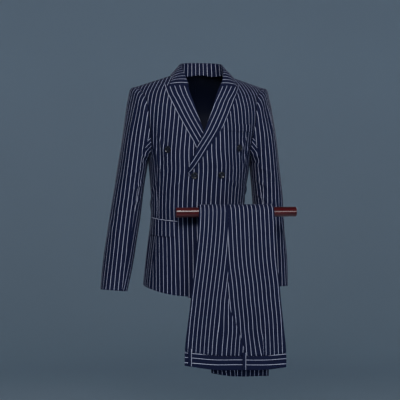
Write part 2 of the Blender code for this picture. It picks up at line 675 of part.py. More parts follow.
def leg_core():
    """The hidden layers of both legs, one rounded solid from the waist over the rod to the hems."""
    rows = leg_rows()

    def place(u, v, lift):
        left, right = read(LEGS, "left", v) + CORE_INSET, read(LEGS, "right", v) - CORE_INSET
        x = left + (right - left) * u
        near = np.minimum(x - left, right - x)
        round_off = np.sqrt(1 - np.clip(1 - near / CORE_ROUND, 0, CORE_EDGE) ** 2)
        front_drop = read(BAND_FOOT, "drop", x) - CORE_INSET
        along = fan(v, rows[0], rows[-1], front_drop, read(LEG_FOOT, "drop", x) - CORE_INSET)
        return hang(x, along, CORE / 2 + (lift + CORE / 2) * round_off)

    return wall("trouser_inner_layers", CORE_COLUMNS, rows, place, CORE)


def waistband():
    """The waistband at the foot of the front fold."""

    def place(u, v, lift):
        rim = read(LEGS, "left", BAND_ALONG), read(LEGS, "right", BAND_ALONG)
        x = rim[0] + (rim[1] - rim[0]) * u
        drop = read(BAND_FOOT, "drop", x) - BAND_HEIGHT * (1 - v)
        return hang(x, -QUARTER - drop, CORE + SEAM + BAND_WALL + lift)

    return wall("waistband", np.linspace(0, 1, BAND_COLUMNS + 1), (0.0, 0.5, 1.0), place, BAND_WALL)


def belt_loop(name, middle):
    """A belt loop over the waistband."""

    def place(u, v, lift):
        x = middle + LOOP_WIDTH * (u - 0.5)
        drop = read(BAND_FOOT, "drop", x) - BAND_HEIGHT * (1 - v) * LOOP_REACH - LOOP_DROP
        return hang(x, -QUARTER - drop, CORE + SEAM + BAND_WALL + SEAM + LOOP_WALL + lift)

    return wall(name, (0.0, 1.0), np.linspace(0, 1, LOOP_ROWS + 1), place, LOOP_WALL)


def rod():
    """The rod, with flat ends."""
    bm = bmesh.new()
    sizes = {"radius1": ROD_RADIUS, "radius2": ROD_RADIUS, "depth": ROD_ENDS[1] - ROD_ENDS[0]}
    bmesh.ops.create_cone(bm, cap_ends=True, segments=ROD_SIDES, **sizes)
    for vert in bm.verts:
        x, y, z = vert.co
        vert.co = (sum(ROD_ENDS) / 2 + z, ROD_Y + x, ROD_Z + y)
    bmesh.ops.recalc_face_normals(bm, faces=bm.faces)
    return finish("rod", LACQUER, LACQUER_ROUGHNESS, bm)


def no_lift(x, depth):
    """The under front lies on the skin itself."""
    return 0 * x


def patch(name, columns, rows, angle_of, depth_at, lift_of, thickness):
    """A piece that lies on the body's panels: angle_of(u) and depth_at(u, v) give its place."""

    def place(u, v, lift):
        depth = depth_at(u, v)
        angle = angle_of(u, depth)
        x = bare_skin(angle, turn_of(depth))[..., 0]
        return skin(angle, turn_of(depth), lift + lift_of(x, depth) + LAY + thickness)

    return wall(name, columns, rows, place, thickness)


def hip_pocket(word, side, lift_of):
    """A flap, and the jet above it."""

    def angle_of(u, depth):
        return side * (FLAP_ANGLES[0] + (FLAP_ANGLES[1] - FLAP_ANGLES[0]) * u)

    def top(u):
        return FLAP_TOP[0] + (FLAP_TOP[1] - FLAP_TOP[0]) * u

    def flap_depth(u, v):
        foot = FLAP_FOOT[0] + (FLAP_FOOT[1] - FLAP_FOOT[0]) * u
        return top(u) + (foot - top(u)) * v

    columns = np.linspace(0, 1, FLAP_COLUMNS + 1)
    patch(f"hip_flap_{word}", columns, (0.0, 0.5, 1.0), angle_of, flap_depth, lift_of, FLAP_WALL)

    def jet_depth(u, v):
        return top(u) - SEAM - JET * (1 - v)

    patch(f"hip_jet_{word}", columns, (0.0, 1.0), angle_of, jet_depth, lift_of, FLAP_WALL)


def chest_welt():
    """The welt of the breast pocket, on the wearer's left."""

    def angle_of(u, depth):
        return angle_at(WELT_X[0] + (WELT_X[1] - WELT_X[0]) * u, depth)

    def depth_at(u, v):
        return WELT_TOP + WELT_HEIGHT * v

    columns = np.linspace(0, 1, WELT_COLUMNS + 1)
    patch("chest_welt", columns, (0.0, 0.5, 1.0), angle_of, depth_at, over_lift, FLAP_WALL)


def button(row):
    """A dished round button, facing out from the cloth under its middle."""
    turn = turn_of(row.depth)
    angle = angle_at(row.x, row.depth)
    lift = float((over_lift if row.over else no_lift)(np.array(row.x), np.array(row.depth)))
    foot = skin(angle, turn, lift + LAY)
    top = skin(angle, turn, lift + LAY + BUTTON_HEIGHT)
    out = (top - foot) / BUTTON_HEIGHT
    across = np.cross([0, 0, 1], out)
    across /= np.linalg.norm(across)
    up = np.cross(out, across)
    bm = bmesh.new()
    sizes = {"radius1": BUTTON_RADIUS, "radius2": BUTTON_RADIUS, "depth": BUTTON_HEIGHT}
    bmesh.ops.create_cone(bm, cap_ends=True, segments=BUTTON_SIDES, **sizes)
    face = max(bm.faces, key=lambda item: item.calc_center_median().z)
    bmesh.ops.inset_region(bm, faces=[face], thickness=BUTTON_RIM, use_even_offset=True)
    bmesh.ops.translate(bm, verts=face.verts, vec=(0, 0, -BUTTON_DISH))
    middle = (foot + top) / 2
    for vert in bm.verts:
        vert.co = middle + across * vert.co.x + up * vert.co.y + out * vert.co.z
    bmesh.ops.recalc_face_normals(bm, faces=bm.faces)
    return finish(row.name, BUTTON_NAVY, BUTTON_ROUGHNESS, bm)


for item in list(bpy.data.objects):
    bpy.data.objects.remove(item)

front("front_left", 1, OVER_ROLL, OVER_EDGE, OVER_DROP, over_lift)
front("front_right", -1, UNDER_ROLL, UNDER_EDGE, 0.0, no_lift)
lapel("lapel_left", 1, OVER_ROLL, OVER_LAPEL, OVER_NOTCH, over_lift)
lapel("lapel_right", -1, UNDER_ROLL, UNDER_LAPEL, UNDER_NOTCH, no_lift)
collar()
for word, side, rings, lift_of in (("left", 1, LEFT_SLEEVE, over_lift), ("right", -1, RIGHT_SLEEVE, no_lift)):
    side_body(f"side_body_{word}", side)
    back(f"back_{word}", side)
    sleeve(f"sleeve_under_{word}", side, rings, FRONT_SEAM, REAR_SEAM)
    sleeve(f"sleeve_upper_{word}", side, rings, REAR_SEAM, FRONT_SEAM + 22)
    hip_pocket(word, side, lift_of)
chest_welt()
for row in BUTTONS:
    button(row)
leg_panel("trouser_front", "left", "seam")
leg_panel("trouser_back", "seam", "right")
leg_core()
waistband()
for number, middle in enumerate(LOOPS, 1):
    belt_loop(f"belt_loop_{number}", middle)
rod()
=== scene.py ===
"""Look of a double-breasted pinstriped suit: a jacket in its hollow worn form, and trousers over a rod."""

import logging
import math
from dataclasses import dataclass, field
from enum import Enum
from functools import cached_property, partial
from typing import Callable, NamedTuple, Sequence

import bmesh
import bpy
import numpy as np
from mathutils import Matrix, Vector


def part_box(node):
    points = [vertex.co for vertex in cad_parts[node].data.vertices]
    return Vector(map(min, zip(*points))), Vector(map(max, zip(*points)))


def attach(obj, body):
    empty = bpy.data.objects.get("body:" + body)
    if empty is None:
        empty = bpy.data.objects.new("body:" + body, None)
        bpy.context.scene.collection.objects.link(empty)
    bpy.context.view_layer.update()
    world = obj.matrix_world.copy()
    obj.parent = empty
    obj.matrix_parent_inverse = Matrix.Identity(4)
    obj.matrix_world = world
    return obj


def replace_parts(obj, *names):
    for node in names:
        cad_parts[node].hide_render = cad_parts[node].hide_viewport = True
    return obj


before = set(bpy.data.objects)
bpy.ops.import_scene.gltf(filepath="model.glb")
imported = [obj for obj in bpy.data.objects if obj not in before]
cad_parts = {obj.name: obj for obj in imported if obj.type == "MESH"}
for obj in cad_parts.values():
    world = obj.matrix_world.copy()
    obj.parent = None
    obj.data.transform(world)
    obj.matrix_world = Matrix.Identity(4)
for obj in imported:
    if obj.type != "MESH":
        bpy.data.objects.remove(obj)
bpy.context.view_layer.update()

LOG = logging.getLogger("suit")

Array = np.ndarray
Arrays = tuple[Array, ...]
Pair = tuple[float, float]
Floats = Sequence[float]
Colour = tuple[float, float, float]
Place = Callable[[Array, Array, Array], Array]
Pattern = Callable[[Array, Array], Arrays]
Lift = Callable[[Array, Array], Array]

BODY = "root"
MM = 0.001
WALL = 0.002  # the jacket's cloth with its interlining
SEAM = 0.00006  # between pieces that are sewn together
LAY = 0.0008  # between a piece and the panel that it lies on
PITCH = 0.0034  # between the rows of a panel's mesh
STRIPE = 0.0130  # between two pinstripes


class Slot(Enum):
    """The record's material slots."""

    SUITING = "suiting"
    BUTTON = "button"
    LACQUER = "lacquer"


class Held(Enum):
    """How a piece of cloth is held."""

    HUNG = "hung"
    FOLDED = "folded"


def curve(knots: Array, values: Array, at: Array | float) -> Array:
    """Reads a smooth curve through points, and straight on past both ends.

    Args:
        knots: where the points lie.
        values: their values.
        at: where to read it.

    Returns:
        The values at those places.
    """
    slopes = np.gradient(values, knots)
    at = np.asarray(at, float)
    i = np.clip(np.searchsorted(knots, at) - 1, 0, len(knots) - 2)
    width = knots[i + 1] - knots[i]
    along = (at - knots[i]) / width
    t = np.clip(along, 0, 1)
    between = (
        values[i] * (1 + 2 * t) * (1 - t) ** 2
        + values[i + 1] * t * t * (3 - 2 * t)
        + width * t * (1 - t) * (slopes[i] * (1 - t) - slopes[i + 1] * t)
    )
    return between + (along - t) * width * np.where(along < 0, slopes[0], slopes[-1])


def step_up(value: Array, start: float, end: float) -> Array:
    """0 at start and 1 at end, with a smooth step between."""
    t = np.clip((value - start) / (end - start), 0, 1)
    return t * t * (3 - 2 * t)


def part_way(start: Array | float, end: Array | float, share: Array) -> Array:
    """What lies at a share of the way from start to end."""
    return start + (end - start) * share


def unit(vectors: Array) -> Array:
    """The vectors, each one metre long."""
    return vectors / np.maximum(np.linalg.norm(vectors, axis=-1, keepdims=True), 1e-12)


def outward(point: Callable[[Array, Array], Array], u: Array, v: Array, step: float = 0.001) -> Array:
    """Unit normals of a surface, by differences.

    Args:
        point: gives the surface's points.
        u: the first parameter.
        v: the second parameter.
        step: how far apart the compared points are.

    Returns:
        The normals.
    """
    across = point(u + step, v) - point(u - step, v)
    down = point(u, v + step) - point(u, v - step)
    return unit(np.cross(down, across))


class Table:
    """Rows given in thousandths, and read between by smooth curves in metres."""

    def __init__(self, columns: str, *rows: tuple[float, ...]) -> None:
        """Keeps the rows and the names of their columns, the first of which it is read by."""
        self.columns = columns.split()
        self.values = np.array(rows) * MM

    def column(self, name: str) -> Array:
        """A whole column."""
        return self.values[:, self.columns.index(name)]

    def at(self, name: str, place: Array | float) -> Array:
        """A column's values at places of the first column."""
        return curve(self.values[:, 0], self.column(name), place)


class Fold(NamedTuple):
    """A soft ridge, or with a negative rise a trough, between two places of a cloth.

    Across is in degrees round a form, and else in millimetres, like all the other sizes.
    """

    across: float
    along: float
    to_across: float
    to_along: float
    width: float
    rise: float
    bow: float


class Wave(NamedTuple):
    """A broad unevenness: whole turns round the form, turns down a metre, height in millimetres and phase."""

    round: int
    down: float
    height: float
    phase: float


class Spot(NamedTuple):
    """A button's place, and whether it is on the over front."""

    name: str
    x: float
    depth: float
    over: bool


# Level sections of the body, and half widths of the armhole's two edges
SECTIONS = Table(
    "depth half_width front back lean",
    (0, 205, 112, 100, 0), (60, 200, 119, 112, 0), (120, 194, 122, 119, 0), (200, 171.5, 122.5, 120, -1),
    (250, 158, 120, 116, -2), (290, 154.5, 116, 110, -2), (340, 149, 109, 102, -4), (400, 145, 104, 98, -6),
    (450, 146.5, 106, 101, -6), (520, 155, 112, 111, -6), (600, 164.5, 115, 119, -6),
    (680, 172, 115, 121, -6),
)
ARMHOLE = Table(
    "depth front back",
    (0, 197, 197), (5, 192.5, 194.5), (19, 184, 190), (41, 175, 184.5), (69, 168.5, 180.5), (99, 165, 178),
    (130, 162.5, 175.5), (160, 159.5, 169.5), (190, 156.5, 159),
)
# The fronts' folds, and below them their edges, then the lapels' outer edges from the tip down
OVER_ROLL = Table(
    "depth x",
    (0, 74), (10, 67), (28, 58.5), (46, 47), (79, 32), (120, 16.5), (171, -3.2), (201, -16.5), (227, -27),
    (270, -44), (292, -50), (306, -51),
)
UNDER_ROLL = Table(
    "depth x",
    (0, -54), (73, -38.8), (101, -29.7), (227, 19), (286, 50), (300, 54),
)
OVER_LAPEL = Table(
    "depth x",
    (22, 115), (60, 101), (134, 66.1), (227.5, 6.7), (283, -32), (302, -48.5),
)
UNDER_LAPEL = Table(
    "depth x",
    (26, -114), (55, -108.4), (80, -99.5), (206, -34.3), (227, -22.5), (240, -5), (262, 29),
)
# The stripes of the fronts lean in towards the neck over the chest
STRIPE_LEAN = Table(
    "depth shift",
    (0, 50), (10, 42), (40, 23), (80, 12), (140, 5), (200, 0), (700, 0),
)
# The collar from its middle to its end: its fold, its outer edge and its base, and how far its fall bulges
COLLAR = Table(
    "along fold_x fold_y fold_z fold_centre edge_x edge_depth edge_centre base_x base_depth base_lift bulge",
    (0, 0, 53, 44, 7, 0, -24, 7, 0, -12.2, -2.8, 0), (160, 31, 48, 43, 7, 46, -22, 7, 33, -9, -3, 0),
    (320, 53, 33, 40, 7, 76, -15, 7, 56, -3, -3.2, 0.5),
    (480, 63.5, 10, 34, 7, 92, -2.5, 7, 66.5, 0.4, -3.4, 1.5),
    (640, 60, -30, 9, 8, 95.5, 7, 6, 64, 10, -3, 2.8),
    (820, 52, -69, -19, 6.5, 97.5, 22, 3, 56, 29.5, -4, 3),
    (1000, 47, -84, -34.2, 3, 101, 35, -1, 49.5, 44.5, -4, 2.2),
)
# Ovals down the sleeves: their outer and inner lines, their middle, half depth and tilt
RIGHT_SLEEVE = Table(
    "along outer_x outer_z inner_x inner_z middle_y half_y tilt",
    (0, 197, -36, 158.5, -252, -4, 60, 0), (14, 210, -42, 160, -254, -4, 60, 0),
    (45, 219, -72, 160.8, -258, -3, 61, 0), (90, 227, -118, 161.2, -263, -2, 62, 0),
    (140, 235.5, -168, 161.2, -269, 0, 62, 0), (245, 252, -276, 161.2, -282, 4, 61, 0),
    (300, 261, -331, 169, -334, 5, 58, 0), (355, 270, -384, 177, -388, 4, 55, 20),
    (410, 279, -437, 185, -441, 0, 52, 50), (470, 288.5, -497, 195, -501, -10, 49, 90),
    (540, 299, -567, 208, -573, -26, 46, 120), (624, 310, -650, 228, -658, -50, 43, 140),
)
LEFT_SLEEVE = Table(
    "along outer_x outer_z inner_x inner_z middle_y half_y tilt",
    (0, 197, -36, 158.5, -252, -4, 60, 0), (14, 211, -42, 159.2, -254, -4, 60, 0),
    (45, 220, -72, 159.4, -258, -3, 61, 0), (90, 229, -118, 159.2, -263, -2, 62, 0),
    (140, 238, -168, 158.8, -269, 0, 62, 0), (245, 252, -276, 158.8, -282, 4, 61, 0),
    (300, 258.5, -331, 163, -334, 5, 58, 0), (355, 263, -384, 168, -388, 4, 55, 20),
    (410, 265, -437, 172, -441, 0, 52, 50), (470, 268, -497, 176.5, -501, -10, 49, 90),
    (540, 270.8, -567, 181.5, -571, -26, 46, 120), (624, 269.2, -650, 186, -654, -50, 43, 140),
)
# Edges and side seam of the folded legs, by the cloth's distance from the rod's top, negative in front
LEGS = Table(
    "along left right seam",
    (-495, -69, 240.5, 120), (-449, -66.5, 239.5, 114.5), (-425, -64.8, 238, 110), (-368, -58, 231.5, 92.7),
    (-314, -51.5, 225.5, 69.8), (-281, -48.2, 222, 65.5), (-245, -44, 219, 63.2), (-174, -35.6, 210.5, 63),
    (-52, -25.2, 203.5, 63), (0, -23.5, 200.5, 63), (224, -8, 199, 80), (524, 19.5, 195, 98),
)
# How far below the rod the waistband and the hems end
BAND_FOOT = Table(
    "x drop",
    (-68, 452), (-30, 459), (15, 466), (96, 470), (142, 471.5), (189, 470.5), (240, 465),
)
LEG_FOOT = Table(
    "x drop",
    (19.5, 486), (56, 494), (91, 498), (195, 499.5),
)
BUTTONS = (
    Spot("button_chest_right", -0.1086, 0.2277, False),
    Spot("button_chest_left", 0.1069, 0.2229, True),
    Spot("button_waist_right", -0.0310, 0.3051, True),
    Spot("button_waist_left", 0.0499, 0.3038, True),
    Spot("button_lower_right", -0.0310, 0.4213, True),
    Spot("button_lower_left", 0.0500, 0.4222, True),
)

# Folds by the angle round the body or arm and the distance down it, and of the trousers by x and the drop
BODY_FOLDS = (
    (-19, 565, -28, 655, 10, 2.2, 4), (-15, 600, -21, 668, 8, 1.6, -3), (-50, 180, -44, 262, 9, 2.2, -6),
    (-58, 210, -52, 300, 9, 1.8, 4), (50, 175, 43, 255, 9, 2.2, 6), (58, 205, 51, 290, 9, 1.6, -4),
    (-15, 318, -46, 372, 10, 1.4, 6), (-30, 250, -62, 330, 11, 1.4, 6), (20, 315, 52, 352, 10, 1.4, -6),
    (35, 248, 66, 318, 11, 1.2, -6), (-64, 330, -88, 384, 10, 1.8, 4), (-70, 372, -100, 414, 12, 2, 4),
    (64, 338, 92, 372, 10, 1.8, -4), (70, 378, 104, 420, 12, 2, -4), (-34, 450, -30, 600, 13, 1.6, 6),
    (-80, 470, -84, 640, 14, 2, 6), (78, 480, 84, 645, 14, 2, -6), (36, 500, 30, 650, 13, -1.2, 6),
    (-104, 260, -128, 200, 11, 2, 4), (104, 262, 130, 206, 11, 2.2, -4), (-118, 300, -146, 250, 12, 1.8, 6),
    (118, 306, 148, 262, 12, 1.6, -6), (-112, 360, -150, 392, 12, 1.8, -5), (110, 366, 152, 396, 12, 2, 5),
    (-120, 404, -166, 418, 11, 1.4, -4), (122, 410, 164, 424, 11, 1.4, 4),
    (-140, 460, -148, 640, 16, 2.2, 6), (138, 470, 146, 646, 16, 2, -6), (-164, 40, -146, 72, 12, 1.2, 4),
    (164, 42, 148, 74, 12, 1.2, -4), (-128, 90, -122, 190, 10, 1.8, 4), (127, 94, 121, 196, 10, 1.8, -4),
)
RIGHT_SLEEVE_FOLDS = (
    (40, 30, 60, 160, 8, 1.6, 4), (80, 50, 120, 170, 9, 2, 6), (150, 60, 100, 200, 9, 2.2, -4),
    (300, 40, 280, 180, 10, 1.8, 4), (240, 60, 250, 200, 10, 2, 4), (130, 250, 60, 300, 9, 2.2, 6),
    (150, 290, 84, 336, 9, 2.4, 6), (160, 340, 96, 372, 9, 2, 5), (100, 330, 40, 392, 10, 1.6, -4),
    (220, 300, 290, 330, 10, 2, 5), (230, 350, 300, 372, 11, 1.8, 5), (10, 380, 60, 470, 11, 1.4, 6),
    (60, 430, 110, 520, 11, 1.6, 5), (340, 420, 300, 520, 11, 1.4, 5), (120, 500, 70, 590, 11, 1.4, -5),
    (250, 480, 280, 590, 12, 1.4, 5),
)
LEFT_SLEEVE_FOLDS = (
    (36, 36, 58, 150, 8, 1.6, 4), (84, 46, 116, 180, 9, 2, 6), (148, 66, 104, 190, 9, 2, -4),
    (296, 46, 276, 190, 10, 1.8, 4), (244, 56, 252, 190, 10, 1.8, 4), (134, 240, 66, 292, 9, 2, 6),
    (152, 284, 80, 330, 9, 2.2, 6), (158, 330, 92, 366, 9, 2, 5), (98, 336, 44, 400, 10, 1.6, -4),
    (216, 306, 286, 336, 10, 2, 5), (226, 356, 304, 380, 11, 1.8, 5), (14, 390, 64, 480, 11, 1.4, 6),
    (336, 430, 296, 530, 11, 1.4, 5), (116, 510, 74, 600, 11, 1.4, -5), (254, 470, 284, 580, 12, 1.4, 5),
)
LEG_FOLDS = (
    (92, 240, 160, 420, 12, -2.4, 8), (122, 230, 186, 420, 11, 2.2, 6), (150, 270, 176, 428, 10, -2.2, 4),
    (174, 300, 200, 420, 10, 1.8, 4), (80, 60, 120, 260, 14, 1.4, 6), (30, 50, 10, 280, 14, 1.4, -6),
    (-12, 180, -30, 380, 12, 1.4, -4), (42.8, 300, 43.6, 400, 7, 2, 0), (150, 20, 176, 200, 14, 1.2, 6),
)
BODY_WAVES = ((3, 1.7, 0.45, 0.4), (5, -2.6, 0.4, 2.1), (8, 3.4, 0.3, 4.4), (11, -4.3, 0.22, 1.2))
SLEEVE_WAVES = ((2, 2.3, 0.6, 0.7), (3, -4.1, 0.5, 2.9), (4, 6.3, 0.3, 5.0))
LEG_WAVES = ((4, 2.1, 0.5, 0.3), (7, -3.0, 0.4, 2.3))


@dataclass(frozen=True)
class Drape:
    """Folds and broad unevenness of a cloth that goes round a form.

    Attributes:
        folds: rows of its folds, placed by angle in degrees, or by x where it isn't closed.
        waves: rows of its broad unevenness.
        radius: metres of cloth for one radian.
        closed: whether the cloth goes all the way round.
        strength: how much deeper the folds are than in the table.
    """

    folds: tuple[tuple[float, ...], ...]
    waves: tuple[tuple[float, ...], ...]
    radius: float = 0.148
    closed: bool = True
    strength: float = 1.0

    def height(self, angle: Array, along: Array) -> Array:
        """How far the cloth stands out at each place.

        Args:
            angle: the angle round the form, or x where the cloth isn't closed.
            along: the distance down the cloth.

        Returns:
            Heights in metres.
        """
        angle, along = np.broadcast_arrays(np.asarray(angle, float), np.asarray(along, float))
        across, turns = (angle * self.radius, angle) if self.closed else (angle, angle / self.radius)
        total = np.zeros(angle.shape)
        for wave in (Wave(*row) for row in self.waves):
            phase = wave.round * turns + 2 * math.pi * wave.down * along + wave.phase
            total += wave.height * MM * np.sin(phase)
        for row in self.folds:
            total += self.strength * self.one(Fold(*row), across, along)
        return total

    def one(self, fold: Fold, across: Array, along: Array) -> Array:
        """The height of one fold: a ridge between slight troughs, which dies out at both ends.

        Args:
            fold: the fold.
            across: metres round the form, or x.
            along: metres down the cloth.

        Returns:
            Heights in metres.
        """
        scale = (math.radians(1) * self.radius if self.closed else MM, MM)
        start, end = np.multiply(fold[:2], scale), np.multiply(fold[2:4], scale)
        off, down = across - start[0], along - start[1]
        if self.closed:
            around = 2 * math.pi * self.radius
            off = (off + around / 2) % around - around / 2
        run = end - start
        length = float(np.hypot(*run))
        t = (off * run[0] + down * run[1]) / length**2
        held = np.clip(t, 0, 1)
        side = (down * run[0] - off * run[1]) / length - fold.bow * MM * 4 * held * (1 - held)
        q = side / (fold.width * MM * (0.75 + 0.5 * held))
        taper = step_up(t, -0.10, 0.38) * (1 - step_up(t, 0.58, 1.12))
        return fold.rise * MM * taper * np.exp(-0.6 * q * q) * np.cos(1.6 * q)


def over_lift(x: Array, depth: Array) -> Array:
    """How far the over front stands off the skin, clear of the under front and higher up of its lapel."""
    under_lapel = WALL + LAY + 0.0012 + LAY
    over_front = (1 - step_up(x, 0.056, 0.094)) * step_up(depth, 0.090, 0.168)
    return over_front * (WALL + LAY + under_lapel * (1 - step_up(depth, 0.264, 0.292)))


def no_lift(x: Array, depth: Array) -> Array:
    """A piece that lies on the skin itself."""
    return 0 * x


@dataclass(frozen=True)
class Form:
    """The jacket's shape: one skin that all its panels are cut from.

    It is read by an angle round the body, 0 at the centre front and positive towards the wearer's left,
    and by a depth below the shoulder line. A turn is that depth as an angle over the crown and a distance
    below it.

    Attributes:
        drape: its folds.
        crown: how far down the shoulders round over.
        square: how square its sections are, less than 1 for fuller corners.
        shoulder_fade: depth at which nothing of the shoulders' slope is left.
        nape_rise: how far the back rises to the neck.
        nape_depth: how far its neckline is cut down.
        side_depth: depth where the side body's seams end in the armhole.
        arm_depth: depth of the armhole's foot.
        hem_start: depth from which the rows fan out to the hem.
        hem_end: depth of the last row before that.
        calm: depths between which the folds set in.
        skirt_start: depth below which nothing may stand out behind the trousers.
        skirt_x: x between which that sets in.
    """

    drape: Drape = Drape(BODY_FOLDS, BODY_WAVES, strength=1.5)
    crown: float = 0.130
    square: float = 0.87
    neck_x: float = 0.007
    neck_half: float = 0.072
    shoulder_y: float = 0.010
    shoulder_top: float = 0.004
    shoulder_slope: float = 0.328
    shoulder_start: float = 0.075
    shoulder_fade: float = 0.260
    nape_rise: float = 0.040
    nape_width: float = 0.045
    nape_depth: float = 0.014
    side_front: float = math.radians(62)
    side_back: float = math.radians(116)
    side_depth: float = 0.190
    arm_depth: float = 0.252
    hem_start: float = 0.300
    hem_end: float = 0.660
    hem_side: float = 0.646
    hem_front_drop: float = 0.024
    hem_back_drop: float = 0.014
    calm: Pair = (0.0, 0.060)
    skirt_start: float = 0.400
    skirt_x: Pair = (-0.085, -0.045)

    @property
    def side_middle(self) -> float:
        """The angle of the side body's middle."""
        return (self.side_front + self.side_back) / 2

    @property
    def side_half(self) -> float:
        """Half the angle that the side body spans."""
        return (self.side_back - self.side_front) / 2

    def depth_of(self, turn: Array) -> Array:
        """Depth below the shoulder line: a quarter round over the crown, then straight down."""
        over = self.crown * (1 - np.cos(turn))
        return np.where(turn < math.pi / 2, over, self.crown * (1 + turn - math.pi / 2))

    def turn_of(self, depth: Array) -> Array:
        """The turn that lies at a depth."""
        over = np.arccos(np.clip(1 - depth / self.crown, -1, 1))
        return np.where(depth < self.crown, over, math.pi / 2 + depth / self.crown - 1)

    def angle_at(self, x: Array, depth: Array, back: bool = False) -> Array:
        """The angle round the body at which its skin has this x, in front or behind."""
        share = (x - SECTIONS.at("lean", depth)) / SECTIONS.at("half_width", depth)
        angle = np.arcsin(np.clip(np.abs(share), 0, 1) ** (1 / self.square)) * np.sign(share)
        return np.where(share < 0, -math.pi, math.pi) - angle if back else angle

    def bare(self, angle: Array, turn: Array) -> Array:
        """A point of the body's skin without its folds.

        Args:
            angle: the angle round the body.
            turn: the turn over the shoulder and down the side.

        Returns:
            The points.
        """
        depth = self.depth_of(turn)
        rise = np.where(turn < math.pi / 2, np.sin(turn), 1.0)
        fade = np.clip(1 - depth / self.shoulder_fade, 0, 1) ** 2
        sine, cosine = np.sin(angle), np.cos(angle)
        forward = np.sign(cosine) * np.abs(cosine) ** self.square
        sideways = np.sign(sine) * np.abs(sine) ** self.square
        x = SECTIONS.at("lean", depth) + SECTIONS.at("half_width", depth) * sideways
        reach = np.where(cosine > 0, SECTIONS.at("front", depth), SECTIONS.at("back", depth))
        y = self.shoulder_y * (1 - rise) - rise * reach * forward
        slope = self.shoulder_slope * np.maximum(np.abs(x) - self.shoulder_start, 0)
        nape = self.nape_rise * rise * np.exp(-(((x - self.neck_x) / self.nape_width) ** 2)) * (cosine < 0)
        return np.stack([x, y, (self.shoulder_top - slope + nape) * fade - depth], -1)

    def soft(self, angle: Array, depth: Array, x: Array) -> Array:
        """Height of the folds: none by the shoulder seam, and only inwards behind the trousers."""
        height = self.drape.height(angle, depth) * step_up(depth, *self.calm)
        hidden = step_up(depth, self.skirt_start - 0.04, self.skirt_start) * step_up(x, *self.skirt_x)
        hidden = hidden * (np.cos(angle) > 0)
        return np.where(hidden > 0, height - hidden * np.maximum(height, 0), height)

    def skin(self, angle: Array, turn: Array, lift: Array | float = 0.0) -> Array:
        """A point of the body's skin, moved out by lift.

        Args:
            angle: the angle round the body.
            turn: the turn over the shoulder and down the side.
            lift: how far outside the skin the point is.

        Returns:
            The points.
        """
        angle, turn = np.broadcast_arrays(np.asarray(angle, float), np.asarray(turn, float))
        bare = self.bare(angle, turn)
        lift = np.broadcast_to(lift, angle.shape) + self.soft(angle, self.depth_of(turn), bare[..., 0])
        return bare + outward(self.bare, angle, turn) * lift[..., None]

    def on_front(self, x: Array, depth: Array, lift: Array | float = 0.0) -> Array:
        """A point of the front's skin, by its x and depth."""
        return self.skin(self.angle_at(x, depth), self.turn_of(depth), lift)

    def laid(self, spot: Pattern, lift_of: Lift = no_lift, rise: Lift = no_lift) -> Place:
        """Lays a piece on the skin.

        Args:
            spot: gives the angle and depth of each place of the piece.
            lift_of: how far what it lies on stands off the skin, by x and depth.
            rise: how far its face stands off that, by the piece's own places.

        Returns:
            What gives the points of its face.
        """

        def place(u: Array, v: Array, lift: Array) -> Array:
            """A point of the piece, moved out by lift."""
            angle, depth = spot(u, v)
            x = self.bare(angle, self.turn_of(depth))[..., 0]
            return self.skin(angle, self.turn_of(depth), lift + lift_of(x, depth) + rise(u, v))

        return place

    @cached_property
    def arcs(self) -> Array:
        """Distances round the body from the centre front, by depth and by angle."""
        depths, angles = np.meshgrid(np.linspace(0, 0.7, 141), np.linspace(0, math.pi, 361), indexing="ij")
        points = self.bare(angles, self.turn_of(depths))
        steps = np.linalg.norm(np.diff(points, axis=1), axis=-1)
        return np.concatenate([np.zeros((len(points), 1)), np.cumsum(steps, axis=1)], axis=1)

    def arc(self, angle: Array, depth: Array) -> Array:
        """Distance round the body from the centre front to an angle, with its sign."""
        table = self.arcs
        rows, columns = table.shape
        down = np.clip(depth / 0.7, 0, 1) * (rows - 1)
        along = np.clip(np.abs(angle) / math.pi, 0, 1) * (columns - 1)
        j, i = np.minimum(down.astype(int), rows - 2), np.minimum(along.astype(int), columns - 2)
        s, t = down - j, along - i
        upper = table[j, i] * (1 - t) + table[j, i + 1] * t
        lower = table[j + 1, i] * (1 - t) + table[j + 1, i + 1] * t
        return np.sign(angle) * (upper * (1 - s) + lower * s)

    def front_cloth(self, angle: Array, depth: Array) -> Arrays:
        """Place on a front's cloth: across its stripes from the centre front, and down."""
        arc = self.arc(angle, depth)
        lean = STRIPE_LEAN.at("shift", depth) * step_up(np.abs(arc), 0.0, 0.070)
        settled = 0.0040 * step_up(depth, 0.22, 0.30)
        return arc + np.sign(arc) * lean + STRIPE / 2 - settled, self.crown * self.turn_of(depth)

    def back_cloth(self, angle: Array, depth: Array) -> Arrays:
        """Place on the back's cloth: across its stripes from half a stripe by the centre seam, and down."""
        arc = self.arc(math.pi + 0 * angle, depth) - np.abs(self.arc(angle, depth))
        lean = STRIPE_LEAN.at("shift", depth) * step_up(arc, 0.045, 0.175) / 2
        return arc + lean + STRIPE / 2, self.crown * self.turn_of(depth)

    def armhole_angle(self, depth: Array, side: int, back: bool) -> Array:
        """The angle of the armhole's front or back edge at a depth above the side body."""
        return self.angle_at(side * ARMHOLE.at("back" if back else "front", depth), depth, back)

    def underarm_depth(self, angle: Array) -> Array:
        """Depth of the armhole over the side body."""
        share = np.clip((np.abs(angle) - self.side_middle) / self.side_half, -1, 1)
        return self.side_depth + (self.arm_depth - self.side_depth) * np.sqrt(1 - share**2)

